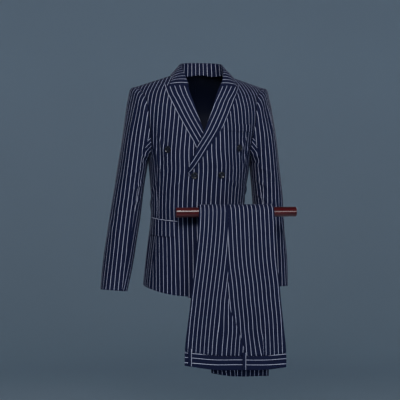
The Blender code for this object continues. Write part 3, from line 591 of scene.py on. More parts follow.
    def to_hem(self, depth: Array, angle: Array, extra: Array | float = 0.0) -> Array:
        """Fans the rows below the waist out to the hem, which is lowest in front and behind."""
        drop = np.where(np.cos(angle) > 0, self.hem_front_drop, self.hem_back_drop)
        hem = self.hem_side + drop * np.cos(angle) ** 2 + extra
        share = np.clip((depth - self.hem_start) / (self.hem_end - self.hem_start), 0, None)
        return np.where(depth > self.hem_start, self.hem_start + share * (hem - self.hem_start), depth)

    def armhole(self, side: int, place: Array) -> Array:
        """Points round the armhole, from the shoulder's tip (0) down the front, under the arm and up to 22.

        Args:
            side: 1 on the wearer's left.
            place: where round it.

        Returns:
            The points.
        """
        turns = (0.0045, 0.277, 0.549, 0.817, 1.082, 1.330, math.pi / 2, 1.8016, 2.0323)
        down = np.where(place <= 11, place, 22 - place)
        depth = self.depth_of(np.interp(down, range(9), turns))
        edges = [self.armhole_angle(depth, side, back) for back in (False, True)]
        under = self.side_middle - self.side_half * np.cos(math.pi * np.clip((place - 8) / 6, 0, 1))
        low = (place > 8) & (place < 14)
        angle = np.where(low, side * under, np.where(place <= 11, *edges))
        depth = np.where(low, self.underarm_depth(under), depth)
        return self.skin(angle, self.turn_of(depth))


class Steps(NamedTuple):
    """Places along one direction of a piece of cloth: parameters, and metres from the first."""

    values: Array
    metres: Array


def spread(knots: Floats, sizes: Floats, pitches: Floats) -> Steps:
    """Spreads places over a direction of a piece, with finer ones by both ends to round its rims.

    Args:
        knots: parameters from the start to the end.
        sizes: metres of cloth between each two knots.
        pitches: how far apart the places are between each two knots.

    Returns:
        The places.
    """
    rim = 0.0009
    ends = np.concatenate([[0], np.cumsum(sizes)])
    inner = np.concatenate([
        np.linspace(a, b, max(1, round((b - a) / pitch)) + 1)[:-1]
        for a, b, pitch in zip(ends, ends[1:], pitches)
    ])
    inner = inner[(inner > rim * 1.6) & (inner < ends[-1] - rim * 1.6)]
    edge = rim * np.array([0, 0.12, 0.45, 1.0])
    metres = np.concatenate([edge, inner, ends[-1] - edge[::-1]])
    return Steps(np.interp(metres, ends, knots), metres)


def even(size: float, pitch: float = PITCH, first: float = 0.0, last: float = 1.0) -> Steps:
    """Spreads places evenly over a direction of this size in metres."""
    return spread((first, last), (size,), (pitch,))


@dataclass(frozen=True)
class Cut:
    """How a piece of cloth is cut and finished.

    Attributes:
        thickness: of the whole wall.
        facing: how far the outer cloth turns in over the lining from the first and last column and row;
            None where the piece has no lining.
        sewn: which of those four sides is sewn to a neighbour, and so dips a little.
        dip: how far it dips.
        dip_width: how wide.
    """

    thickness: float = WALL
    facing: tuple[float, float, float, float] | None = None
    sewn: tuple[bool, bool, bool, bool] = (False, False, False, False)
    dip: float = 0.0005
    dip_width: float = 0.0028


@dataclass
class Piece:
    """A finished piece of cloth, and what its cut measures."""

    name: str
    item: bpy.types.Object
    width: float
    length: float
    area: float


def to_mesh(bm: bmesh.types.BMesh, name: str, corner: float = 180.0) -> bpy.types.Mesh:
    """Ends a bmesh as a smooth mesh.

    Args:
        bm: the bmesh.
        name: the mesh's name.
        corner: degrees above which an edge stays sharp.

    Returns:
        The mesh.
    """
    mesh = bpy.data.meshes.new(name)
    bm.to_mesh(mesh)
    bm.free()
    mesh.shade_smooth()
    if corner < 180:
        mesh.set_sharp_from_angle(angle=math.radians(corner))
    return mesh


def link(name: str, mesh: bpy.types.Mesh, material: bpy.types.Material, slot: Slot) -> bpy.types.Object:
    """Links a mesh as an object of its own, with its finish, that rides on the body.

    Args:
        name: the object's name.
        mesh: its mesh.
        material: its finish.
        slot: the record's slot for that; not used.

    Returns:
        The object.
    """
    mesh.materials.append(material)
    item = bpy.data.objects.new(name, mesh)
    bpy.context.scene.collection.objects.link(item)
    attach(item, BODY)
    return item


def numbers(items: bpy.types.bpy_prop_collection, name: str, width: int, kind: type = float) -> Array:
    """A value of each item of a mesh's collection, in rows of this width."""
    values = np.empty(len(items) * width, kind)
    items.foreach_get(name, values)
    return values.reshape(-1, width)


def signed_volume(mesh: bpy.types.Mesh) -> float:
    """Volume of a closed mesh, negative where it is inside out."""
    mesh.calc_loop_triangles()
    corners = numbers(mesh.loop_triangles, "vertices", 3, np.int32)
    a, b, c = np.moveaxis(numbers(mesh.vertices, "co", 3)[corners], 1, 0)
    return float((a * np.cross(b, c)).sum() / 6)


def surface_area(points: Array) -> float:
    """Area of a grid of points."""
    crossed = np.cross(points[1:, 1:] - points[:-1, :-1], points[1:, :-1] - points[:-1, 1:])
    return float(np.linalg.norm(crossed, axis=-1).sum() / 2)


def weave(
    name: str,
    columns: Steps,
    rows: Steps,
    place: Place,
    pattern: Pattern,
    cut: Cut,
    material: bpy.types.Material,
) -> Piece:
    """Makes a closed piece of cloth: two grids joined round their rims, warped into place.

    Args:
        name: the piece's name.
        columns: places across the piece.
        rows: places down the piece.
        place: gives the points of its outer face, moved out by a lift.
        pattern: gives each place's distance across and along the cloth's stripes.
        cut: its thickness and how its edges are finished.
        material: its finish.

    Returns:
        The piece.
    """
    bm = bmesh.new()
    sizes = {"x_segments": len(columns.values) - 1, "y_segments": len(rows.values) - 1, "size": 1}
    bmesh.ops.create_grid(bm, **sizes)
    inner = bmesh.ops.create_grid(bm, **sizes)["verts"]
    bmesh.ops.translate(bm, verts=inner, vec=(0, 0, -0.01))
    bmesh.ops.bridge_loops(bm, edges=[edge for edge in bm.edges if edge.is_boundary])
    bmesh.ops.recalc_face_normals(bm, faces=bm.faces)
    mesh = to_mesh(bm, name)

    flat = numbers(mesh.vertices, "co", 3)
    i = np.rint((flat[:, 0] + 1) / 2 * (len(columns.values) - 1)).astype(int)
    j = np.rint((flat[:, 1] + 1) / 2 * (len(rows.values) - 1)).astype(int)
    under = flat[:, 2] < -0.005

    u, v = np.meshgrid(columns.values, rows.values)
    across, down = np.meshgrid(columns.metres, rows.metres)
    ends = np.stack([across, across.max() - across, down, down.max() - down])
    rim = 0.45 * cut.thickness
    inset = rim - np.sqrt(rim**2 - (rim - np.clip(ends.min(0), 0, rim)) ** 2)
    dips = sum(cut.dip * np.exp(-((end / cut.dip_width) ** 2)) for end, sewn in zip(ends, cut.sewn) if sewn)
    outer_points = place(u, v, -inset - dips)
    inner_points = place(u, v, -cut.thickness + inset - dips)
    points = np.where(under[:, None], inner_points[j, i], outer_points[j, i])
    mesh.vertices.foreach_set("co", points.ravel())
    mesh.update()
    if signed_volume(mesh) < 0:
        mesh.flip_normals()

    corners = numbers(mesh.loops, "vertex_index", 1, np.int32)[:, 0]
    cloth = np.stack([value[j, i] for value in pattern(u, v)], -1)[corners]
    mesh.uv_layers.new(name="cloth").data.foreach_set("uv", cloth.ravel().astype(np.float32))
    lined = np.full(len(points), -1.0)
    if cut.facing is not None:
        past = np.min([end - facing for end, facing in zip(ends, cut.facing)], axis=0)
        lined = np.where(under, past[j, i], -1.0)
    mesh.attributes.new("lined", "FLOAT", "POINT").data.foreach_set("value", lined.astype(np.float32))

    item = link(f"{name}_cloth", mesh, material, Slot.SUITING)
    runs = [np.linalg.norm(np.diff(outer_points, axis=axis), axis=-1).sum(axis) for axis in (1, 0)]
    width, length = (round(float(run.max()), 3) for run in runs)
    return Piece(name, item, width, length, round(min(surface_area(outer_points), width * length), 6))


def lay_out(
    piece: Piece, held: Held, extra: Sequence[Piece] = (), node: str = ""
) -> None:
    """Puts a piece of cloth in place of its CAD node, which it hides, and logs the size of its cut.

    Args:
        piece: the piece.
        held: how it is held; not used.
        extra: the separate pieces on it.
        node: its CAD node, where that has another name.
    """
    for part in (piece, *extra):
        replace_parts(part.item, node or part.name)
        LOG.info("%s: cut %.0f x %.0f mm", part.name, part.width / MM, part.length / MM)


class Nodes:
    """Adds and joins the nodes of one material or group."""

    def __init__(self, tree: bpy.types.NodeTree) -> None:
        """Keeps the tree that the nodes go into."""
        self.tree = tree

    def fill(self, node: bpy.types.Node, **inputs: object) -> bpy.types.Node:
        """Fills a node's inputs, whose names are given with underscores for spaces."""
        for name, value in inputs.items():
            self.join(node.inputs[name.replace("_", " ")], value)
        return node

    def join(self, socket: bpy.types.NodeSocket, value: object) -> None:
        """Sets a socket's value, or joins another socket or a wire to it."""
        value = value.socket if isinstance(value, Wire) else value
        if isinstance(value, bpy.types.NodeSocket):
            self.tree.links.new(value, socket)
        else:
            socket.default_value = value

    def add(self, kind: str, **inputs: object) -> bpy.types.Node:
        """Adds a node and fills its inputs."""
        return self.fill(self.tree.nodes.new(kind), **inputs)

    def math(self, operation: str, *values: object) -> "Wire":
        """The result of a sum on some values."""
        node = self.tree.nodes.new("ShaderNodeMath")
        node.operation = operation
        for socket, value in zip(node.inputs, values):
            self.join(socket, value)
        return Wire(self, node.outputs[0])

    def mix(self, share: object, first: object, second: object) -> "Wire":
        """Two colours mixed, by the share of the second."""
        node = self.tree.nodes.new("ShaderNodeMix")
        node.data_type = "RGBA"
        for socket, value in ((0, share), (6, first), (7, second)):
            self.join(node.inputs[socket], (*value, 1) if isinstance(value, tuple) else value)
        return Wire(self, node.outputs[2])

    def between(self, value: object, low: object, high: object, start: float = 0.0, end: float = 1) -> "Wire":
        """A value mapped smoothly from low and high to start and end."""
        limits = {"From_Min": low, "From_Max": high, "To_Min": start, "To_Max": end}
        node = self.add("ShaderNodeMapRange", Value=value, **limits)
        node.interpolation_type = "SMOOTHSTEP"
        return Wire(self, node.outputs["Result"])

    def noise(self, vector: object, scale: float, detail: float = 2.0) -> "Wire":
        """A noise's value at a vector."""
        node = self.add("ShaderNodeTexNoise", Vector=vector, Scale=scale, Detail=detail)
        return Wire(self, node.outputs["Fac"])

    def vector(self, x: object, y: object, z: object = 0.0) -> bpy.types.NodeSocket:
        """A vector from three values."""
        return self.add("ShaderNodeCombineXYZ", X=x, Y=y, Z=z).outputs[0]

    def parts(self, vector: object) -> list["Wire"]:
        """The three values of a vector."""
        return [Wire(self, part) for part in self.add("ShaderNodeSeparateXYZ", Vector=vector).outputs]

    def bump(self, height: object, strength: float, distance: float) -> bpy.types.NodeSocket:
        """A normal that follows a height."""
        node = self.add("ShaderNodeBump", Height=height, Strength=strength, Distance=distance)
        return node.outputs["Normal"]


class Wire:
    """A value in a shader, and sums on it."""

    def __init__(self, nodes: Nodes, socket: bpy.types.NodeSocket) -> None:
        """Keeps the socket that gives the value."""
        self.nodes, self.socket = nodes, socket

    def __add__(self, other: object) -> "Wire":
        """The sum."""
        return self.nodes.math("ADD", self, other)

    def __sub__(self, other: object) -> "Wire":
        """The difference."""
        return self.nodes.math("SUBTRACT", self, other)

    def __mul__(self, other: object) -> "Wire":
        """The product."""
        return self.nodes.math("MULTIPLY", self, other)

    def __truediv__(self, other: object) -> "Wire":
        """The quotient."""
        return self.nodes.math("DIVIDE", self, other)


def group(name: str, inputs: Sequence[str], outputs: Sequence[str]) -> tuple[Nodes, list[Wire]]:
    """Starts a shader group with named values in and out.

    Args:
        name: its name.
        inputs: names of what goes in.
        outputs: names of what comes out.

    Returns:
        Its nodes, and what goes in.
    """
    tree = bpy.data.node_groups.new(name, "ShaderNodeTree")
    for label, way in [(label, "INPUT") for label in inputs] + [(label, "OUTPUT") for label in outputs]:
        tree.interface.new_socket(name=label, in_out=way, socket_type="NodeSocketFloat")
    nodes = Nodes(tree)
    start = nodes.add("NodeGroupInput")
    return nodes, [Wire(nodes, start.outputs[label]) for label in inputs]


def worsted() -> bpy.types.NodeTree:
    """A fine twill: its height, and the uneven colour of its yarns."""
    nodes, (across, along, rib) = group("worsted", ("Across", "Along", "Rib"), ("Height", "Shade"))
    diagonal = nodes.math("SINE", (across + along) / rib * (2 * math.pi))
    weft = nodes.math("SINE", along / rib * (4 * math.pi))
    yarns = nodes.noise(nodes.vector(across * 1700.0, along * 40.0), 1.0)
    cloud = nodes.noise(nodes.vector(across * 60.0, along * 18.0), 1.0)
    nodes.add("NodeGroupOutput", Height=diagonal * 0.4 + weft * 0.12 + 0.5, Shade=yarns * 0.7 + cloud * 0.3)
    return nodes.tree


def pinstripe() -> bpy.types.NodeTree:
    """A thin stripe of light yarns, repeated across the cloth and broken up by the twill."""
    names = ("Across", "Along", "Pitch", "Width", "Rib")
    nodes, (across, along, pitch, width, rib) = group("pinstripe", names, ("Mask",))
    share = nodes.math("FRACT", across / pitch + 0.5)
    away = nodes.math("ABSOLUTE", share - 0.5) * pitch
    wander = nodes.noise(nodes.vector(across * 50.0, along * 700.0), 1.0)
    half = width / 2.0
    body = nodes.between(away + (wander - 0.5) * 0.0005, half * 0.62, half * 1.38, 1.0, 0.0)
    dots = nodes.math("SINE", (across + along) / rib * (2 * math.pi))
    nodes.add("NodeGroupOutput", Mask=body * (dots * 0.16 + 0.84))
    return nodes.tree


def new_material(name: str) -> tuple[bpy.types.Material, Nodes, bpy.types.Node, bpy.types.NodeSocket]:
    """Starts a material, and gives it, its nodes, its shader and the place on the object."""
    material = bpy.data.materials.new(name)
    material.use_nodes = True
    nodes = Nodes(material.node_tree)
    place = nodes.add("ShaderNodeTexCoord").outputs["Object"]
    return material, nodes, material.node_tree.nodes["Principled BSDF"], place


@dataclass(frozen=True)
class Suiting:
    """Pinstriped worsted wool outside, and a plain satin lining where the cloth's attribute says so."""

    navy: Colour = (0.0043, 0.0046, 0.0225)
    # a lighter navy: the yarns' random tone, and the painted highlight on the twill's ridges
    yarn_tone_and_ridge_highlight: Colour = (0.0108, 0.0118, 0.0500)
    stripe: Colour = (0.68, 0.70, 0.89)
    lining: Colour = (0.0060, 0.0075, 0.0220)
    stripe_width: float = 0.00105
    rib: float = 0.0010
    roughness: float = 0.78
    lining_roughness: float = 0.42
    sheen: float = 0.04
    sheen_roughness: float = 0.45
    sheen_tint: Colour = (0.45, 0.52, 1.00)
    specular: float = 0.16

    def make(self) -> bpy.types.Material:
        """Builds the material."""
        material, nodes, shader, _ = new_material("suiting")
        cloth = nodes.add("ShaderNodeUVMap")
        cloth.uv_map = "cloth"
        across, along, _ = nodes.parts(cloth.outputs["UV"])
        twill, lines = nodes.add("ShaderNodeGroup"), nodes.add("ShaderNodeGroup")
        twill.node_tree, lines.node_tree = worsted(), pinstripe()
        for node in (twill, lines):
            nodes.fill(node, Across=across, Along=along, Rib=self.rib)
        nodes.fill(lines, Pitch=STRIPE, Width=self.stripe_width)
        height, shade, mask = (Wire(nodes, socket) for socket in (*twill.outputs, *lines.outputs))
        lined = nodes.add("ShaderNodeAttribute")
        lined.attribute_name = "lined"
        inside = nodes.math("GREATER_THAN", lined.outputs["Fac"], 0.0)
        outside = nodes.math("SUBTRACT", 1.0, inside)
        ground = nodes.mix(shade, self.navy, self.yarn_tone_and_ridge_highlight)
        # painted highlight: the twill's ridges, where its bump is highest, are lightened, and its grooves
        # stay darker
        ground = nodes.mix(nodes.between(height, 0.1, 0.9, 0.0, 0.35), ground, self.yarn_tone_and_ridge_highlight)
        relief = height * outside + mask * (outside * 0.6)
        nodes.fill(
            shader,
            Base_Color=nodes.mix(inside, nodes.mix(mask, ground, self.stripe), self.lining),
            Roughness=outside * (self.roughness - self.lining_roughness) + self.lining_roughness,
            Normal=nodes.bump(relief, 0.35, 0.00025),
            Sheen_Weight=self.sheen,
            Sheen_Roughness=self.sheen_roughness,
            Sheen_Tint=(*self.sheen_tint, 1),
            Specular_IOR_Level=self.specular,
        )
        return material


@dataclass(frozen=True)
class Horn:
    """Polished dark navy button horn with a faint cloud in it.

    Attributes:
        roughness: least and most.
        coat: weight and roughness of the polish.
    """

    dark: Colour = (0.0030, 0.0032, 0.0070)
    light: Colour = (0.0130, 0.0140, 0.0270)
    roughness: Pair = (0.20, 0.36)
    coat: Pair = (0.35, 0.12)

    def make(self) -> bpy.types.Material:
        """Builds the material."""
        material, nodes, shader, place = new_material("horn")
        cloud = nodes.between(nodes.noise(place, 170.0, 4.0), 0.42, 0.66)
        nodes.fill(
            shader,
            Base_Color=nodes.mix(cloud, self.dark, self.light),
            Roughness=nodes.between(nodes.noise(place, 900.0), 0.2, 0.8, *self.roughness),
            Coat_Weight=self.coat[0],
            Coat_Roughness=self.coat[1],
        )
        return material


@dataclass(frozen=True)
class Thread:
    """Navy sewing thread, with a painted highlight on the crest of each ply."""

    colour: Colour = (0.020, 0.021, 0.045)
    # a lit copy of the thread's colour: the painted highlight on the plies' crests
    ply_highlight: Colour = (0.044, 0.0462, 0.099)
    ply: float = 0.0006

    def make(self) -> bpy.types.Material:
        """Builds the material."""
        material, nodes, shader, place = new_material("thread")
        x, _, z = nodes.parts(place)
        # share peaks on each ply's crest, where the painted highlight is mixed in; the same ripple drives the
        # bump
        share = nodes.math("SINE", (x + z * 1.7) * (2 * math.pi / self.ply)) * 0.5 + 0.5
        nodes.fill(
            shader,
            Base_Color=nodes.mix(share, self.colour, self.ply_highlight),
            Normal=nodes.bump(share, 0.5, 0.0001),
            Roughness=0.6,
            Sheen_Weight=0.2,
        )
        return material


@dataclass(frozen=True)
class Lacquer:
    """Clear lacquer over dark red stained wood, its grain along the rod.

    Attributes:
        roughness: of the wood, least and most.
        coat: weight and roughness of the lacquer.
    """

    dark: Colour = (0.036, 0.0024, 0.0045)
    red: Colour = (0.095, 0.0065, 0.0110)
    roughness: Pair = (0.29, 0.42)
    coat: Pair = (0.35, 0.12)
    specular: float = 0.3

    def make(self) -> bpy.types.Material:
        """Builds the material."""
        material, nodes, shader, place = new_material("lacquer")
        x, y, z = nodes.parts(place)
        grain = nodes.noise(nodes.vector(x * 14.0, y * 420.0, z * 420.0), 1.0, 5.0)
        nodes.fill(
            shader,
            Base_Color=nodes.mix(nodes.between(grain, 0.30, 0.72), self.dark, self.red),
            Roughness=nodes.between(nodes.noise(place, 60.0), 0.3, 0.7, *self.roughness),
            Normal=nodes.bump(grain, 0.08, 0.0002),
            Specular_IOR_Level=self.specular,
            Coat_Weight=self.coat[0],
            Coat_Roughness=self.coat[1],
        )
        return material


@dataclass(frozen=True)
class Side:
    """One side of the double-breasted front.

    Attributes:
        word: left or right, the wearer's.
        sign: 1 on the wearer's left.
        roll: where it folds open, and below that its edge.
        lapel: the lapel's outer edge, from the tip down.
        notch: depth of the notch.
        lift_of: how far it stands off the skin.
        drop: how much lower its corner hangs.
        belly_end: the depths between which the lapel's rounder roll dies out.
        offsets: shares up the lapel, and how far outside its edge a stripe would lie there.
    """

    word: str
    sign: int
    roll: Table
    lapel: Table
    notch: float
    lift_of: Lift
    drop: float
    belly_end: Pair
    offsets: tuple[tuple[float, ...], tuple[float, ...]]

    @property
    def tip(self) -> float:
        """Depth of the lapel's tip."""
        return float(self.lapel.column("depth")[0])

    @property
    def foot(self) -> float:
        """Depth of the lapel's foot."""
        return float(self.lapel.column("depth")[-1])


OVER_OFFSETS = (
    (0.0, 0.13, 0.33, 0.47, 0.60, 0.80, 1.0),
    (-0.0105, -0.0065, -0.0027, -0.0003, 0.0042, 0.0066, 0.0030),
)
UNDER_OFFSETS = ((0.0, 1.0), (0.0013, 0.0013))
OVER = Side("left", 1, OVER_ROLL, OVER_LAPEL, 0.0380, over_lift, 0.004, (0.240, 0.290), OVER_OFFSETS)
UNDER = Side("right", -1, UNDER_ROLL, UNDER_LAPEL, 0.0374, no_lift, 0.0, (0.110, 0.160), UNDER_OFFSETS)


@dataclass
class Jacket:
    """The jacket's panels and its lapels.

    Attributes:
        gorge: depth of the seam between lapel and collar, at the fold.
        neck_cut: how far the fronts' edges lie outside the fold, under the collar.
        notch_share: where the notch lies between a lapel's fold and its tip.
        peak_start: share up a lapel from which its rows bend to the peak.
        slant: how much narrower its cloth is square to its stripes.
        start_turn: half the shoulder seam's width as a turn.
        flat_roll: radius of a lapel's sharpest roll.
        belly: how much rounder it rolls over the chest.
        arch: how far it arches off the chest.
        settle: over which distance from the roll it comes down on the chest.
        seam_turn: half the gap between panels as an angle.
        low_turn: the turn by which the back's rows no longer follow its neckline.
    """

    form: Form
    cloth: bpy.types.Material
    gorge: float = 0.0438
    neck_cut: float = 0.012
    neck_cut_end: Pair = (0.040, 0.075)
    notch_share: float = 0.8
    peak_start: float = 0.75
    slant: float = 0.88
    lapel_length: float = 0.31
    start_turn: float = 0.0016
    flat_roll: float = 0.0024
    belly: float = 0.0010
    belly_start: Pair = (0.05, 0.10)
    arch: float = 0.0012
    settle: float = 0.020
    seam_turn: float = SEAM / 2 / 0.130
    hem_facing: float = 0.038
    front_facing: float = 0.085
    low_turn: float = 2.0323

    def rows(self, start: float) -> Steps:
        """Rows of a panel from a turn down to the hem."""
        end = float(self.form.turn_of(self.form.hem_end))
        return even(self.form.crown * (end - start), PITCH, start, end)

    def lapel_spot(self, side: Side, s: Array, v: Array) -> Arrays:
        """x and depth of a place on a lapel.

        Args:
            side: the lapel's side.
            s: share from its fold to its edge.
            v: share from its foot to the gorge.

        Returns:
            The two.
        """
        fold_depth, edge_depth = part_way(side.foot, self.gorge, v), part_way(side.foot, side.tip, v)
        peak = np.interp(s, (0, self.notch_share, 1), (self.gorge, side.notch, side.tip))
        bend = (peak - part_way(self.gorge, side.tip, s)) * step_up(v, self.peak_start, 1)
        x = part_way(side.roll.at("x", fold_depth), side.lapel.at("x", edge_depth), s)
        return x, part_way(fold_depth, edge_depth, s) + bend

    def roll_radius(self, side: Side, v: Array) -> Array:
        """Radius of the turn at a lapel's fold."""
        depth = part_way(side.foot, self.gorge, v)
        share = step_up(depth, *self.belly_start) * (1 - step_up(depth, *side.belly_end))
        return self.flat_roll + self.belly * share

    def lapel_cloth(self, side: Side, v: Array) -> Arrays:
        """Width of a lapel, the cloth from where its roll starts, and how far inside the fold that is."""
        spots = [self.lapel_spot(side, share + 0 * v, v) for share in (0.0, 1.0)]
        ends = [self.form.bare(self.form.angle_at(*spot), self.form.turn_of(spot[1])) for spot in spots]
        width = np.linalg.norm(ends[1] - ends[0], axis=-1)
        radius = self.roll_radius(side, v)
        cloth = (math.pi * radius + width - radius) * np.clip(width / 0.010, 0.12, 1)
        return width, cloth, radius * np.sin(np.minimum(cloth / radius, math.pi / 2))

    def front_spot(self, side: Side, u: Array, v: Array) -> Arrays:
        """Angle and depth of a place on a front. Its edge lies inside the fold, where the lapel rolls over.

        Args:
            side: the front's side.
            u: share from its edge to the side body.
            v: turn of its row.

        Returns:
            The two.
        """
        form, sign, foot = self.form, side.sign, side.foot
        row = form.depth_of(v)
        inset = self.lapel_cloth(side, np.clip((row - foot) / (self.gorge - foot), 0, 1))[2]
        inset = np.where(row < foot, inset, inset * (1 - step_up(row, foot, foot + 0.006)))
        inner = side.roll.at("x", np.minimum(row, side.roll.column("depth")[-1]))
        inner = inner + sign * (self.neck_cut * (1 - step_up(row, *self.neck_cut_end)) + inset + 0.0002)
        armhole = form.armhole_angle(row, sign, False)
        outer = np.where(row < form.side_depth - 0.001, armhole, sign * form.side_front)
        depth = row
        for _ in range(2):
            angle = part_way(form.angle_at(inner, depth), outer, u) - sign * self.seam_turn * u
            depth = form.to_hem(row, angle, side.drop * step_up(1 - u, 0.5, 0.9))
        return angle, depth

    def front(self, side: Side) -> Piece:
        """A front, from its fold and edge to the armhole and the side body."""
        spot = partial(self.front_spot, side)

        def pattern(u: Array, v: Array) -> Arrays:
            """Place on the front's cloth."""
            return self.form.front_cloth(*spot(u, v))

        cut = Cut(facing=(self.front_facing, -1, -1, self.hem_facing), sewn=(False, True, True, False))
        place, rows = self.form.laid(spot, side.lift_of), self.rows(self.start_turn)
        return weave(f"front_{side.word}", even(0.215), rows, place, pattern, cut, self.cloth)

    def lapel(self, side: Side) -> Piece:
        """A peaked lapel: the front's cloth rolls over at the fold and lies back on the chest."""
        at = self.form.on_front

        def place(u: Array, v: Array, lift: Array) -> Array:
            """A point of the lapel, u from the roll's start to the outer edge."""
            width, cloth, inset = self.lapel_cloth(side, v)
            radius = self.roll_radius(side, v)
            ahead = u * cloth
            x, depth = self.lapel_spot(side, inset / width, v)
            origin = at(x, depth, side.lift_of(x, depth) - WALL + radius)
            normal = unit(at(x, depth, 0.001) - at(x, depth, 0.0))
            tangent = at(*self.lapel_spot(side, (inset + 0.004) / width, v), 0.0) - at(x, depth, 0.0)
            tangent = unit(tangent - normal * (tangent * normal).sum(-1, keepdims=True))
            phi = np.clip(ahead / radius, 0, math.pi)[..., None]
            curl = origin - (radius + lift)[..., None] * (np.cos(phi) * normal + np.sin(phi) * tangent)
            past = np.maximum(ahead - math.pi * radius, 0)
            x, depth = self.lapel_spot(side, (inset + past) / width, v)
            arch = self.arch * np.sin(math.pi * np.clip(past / (width - inset), 0, 1))
            extra = (2 * radius - 2 * WALL - LAY) * (1 - step_up(past, 0, self.settle))
            face = at(x, depth, lift + side.lift_of(x, depth) + LAY + WALL + arch + extra)
            return np.where((ahead < math.pi * radius)[..., None], curl, face)

        def pattern(u: Array, v: Array) -> Arrays:
            """Stripes run along the lapel's outer edge."""
            across = (1 - u) * self.lapel_cloth(side, v)[1] * self.slant - np.interp(v, *side.offsets)
            return across, v * self.lapel_length

        columns = spread((0, 0.10, 1), (0.011, 0.105), (0.0009, 0.0030))
        return weave(f"lapel_{side.word}", columns, even(0.30, 0.0030), place, pattern, Cut(), self.cloth)

    def side_body(self, side: Side) -> Piece:
        """The panel under the arm."""
        form, sign = self.form, side.sign

        def spot(u: Array, v: Array) -> Arrays:
            """Angle and depth of a place."""
            angle = form.side_middle + form.side_half * (2 * u - 1)
            top = form.underarm_depth(angle)
            angle = angle - (2 * u - 1) * self.seam_turn
            row = form.depth_of(v)
            share = (row - form.side_depth) / (form.hem_start - form.side_depth)
            upper = part_way(top, form.hem_start, share)
            return sign * angle, np.where(row < form.hem_start, upper, form.to_hem(row, angle))

        def pattern(u: Array, v: Array) -> Arrays:
            """Stripes run down the panel from its middle."""
            angle, depth = spot(u, v)
            middle = form.arc(sign * form.side_middle + 0 * angle, depth)
            return form.arc(angle, depth) - middle, form.crown * form.turn_of(depth)

        columns = spread((0, 0.06, 0.94, 1), (0.009, 0.118, 0.009), (0.0015, PITCH, 0.0015))
        rows = self.rows(float(form.turn_of(form.side_depth)))
        cut = Cut(facing=(-1, -1, -1, self.hem_facing), sewn=(True, True, False, False))
        return weave(f"side_body_{side.word}", columns, rows, form.laid(spot), pattern, cut, self.cloth)

    def back(self, side: Side) -> Piece:
        """Half of the back, from the centre seam to the armhole and the side body."""
        form, sign = self.form, side.sign

        def spot(u: Array, v: Array) -> Arrays:
            """Angle and depth of a place."""
            row = form.depth_of(v)
            armhole = np.abs(form.armhole_angle(row, sign, True))
            outer = np.where(row < form.side_depth - 0.001, armhole, form.side_back)
            angle = part_way(math.pi, outer + self.seam_turn, u)
            x = form.bare(sign * angle, v)[..., 0]
            top = form.nape_depth * np.clip(1 - ((x - form.neck_x) / form.neck_half) ** 2, 0, 1)
            turn = v + form.turn_of(top) * (1 - np.clip(v / self.low_turn, 0, 1))
            return sign * angle, form.to_hem(form.depth_of(turn), angle)

        def pattern(u: Array, v: Array) -> Arrays:
            """Place on the back's cloth."""
            return form.back_cloth(*spot(u, v))

        cut = Cut(facing=(-1, -1, -1, self.hem_facing), sewn=(True, True, True, False))
        rows = self.rows(self.start_turn)
        return weave(f"back_{side.word}", even(0.205), rows, form.laid(spot), pattern, cut, self.cloth)

    def build(self) -> None:
        for side in (OVER, UNDER):
            front, lapel = self.front(side), self.lapel(side)
            under_arm, back = self.side_body(side), self.back(side)
            for piece in (front, lapel, under_arm, back):
                lay_out(piece, Held.HUNG)


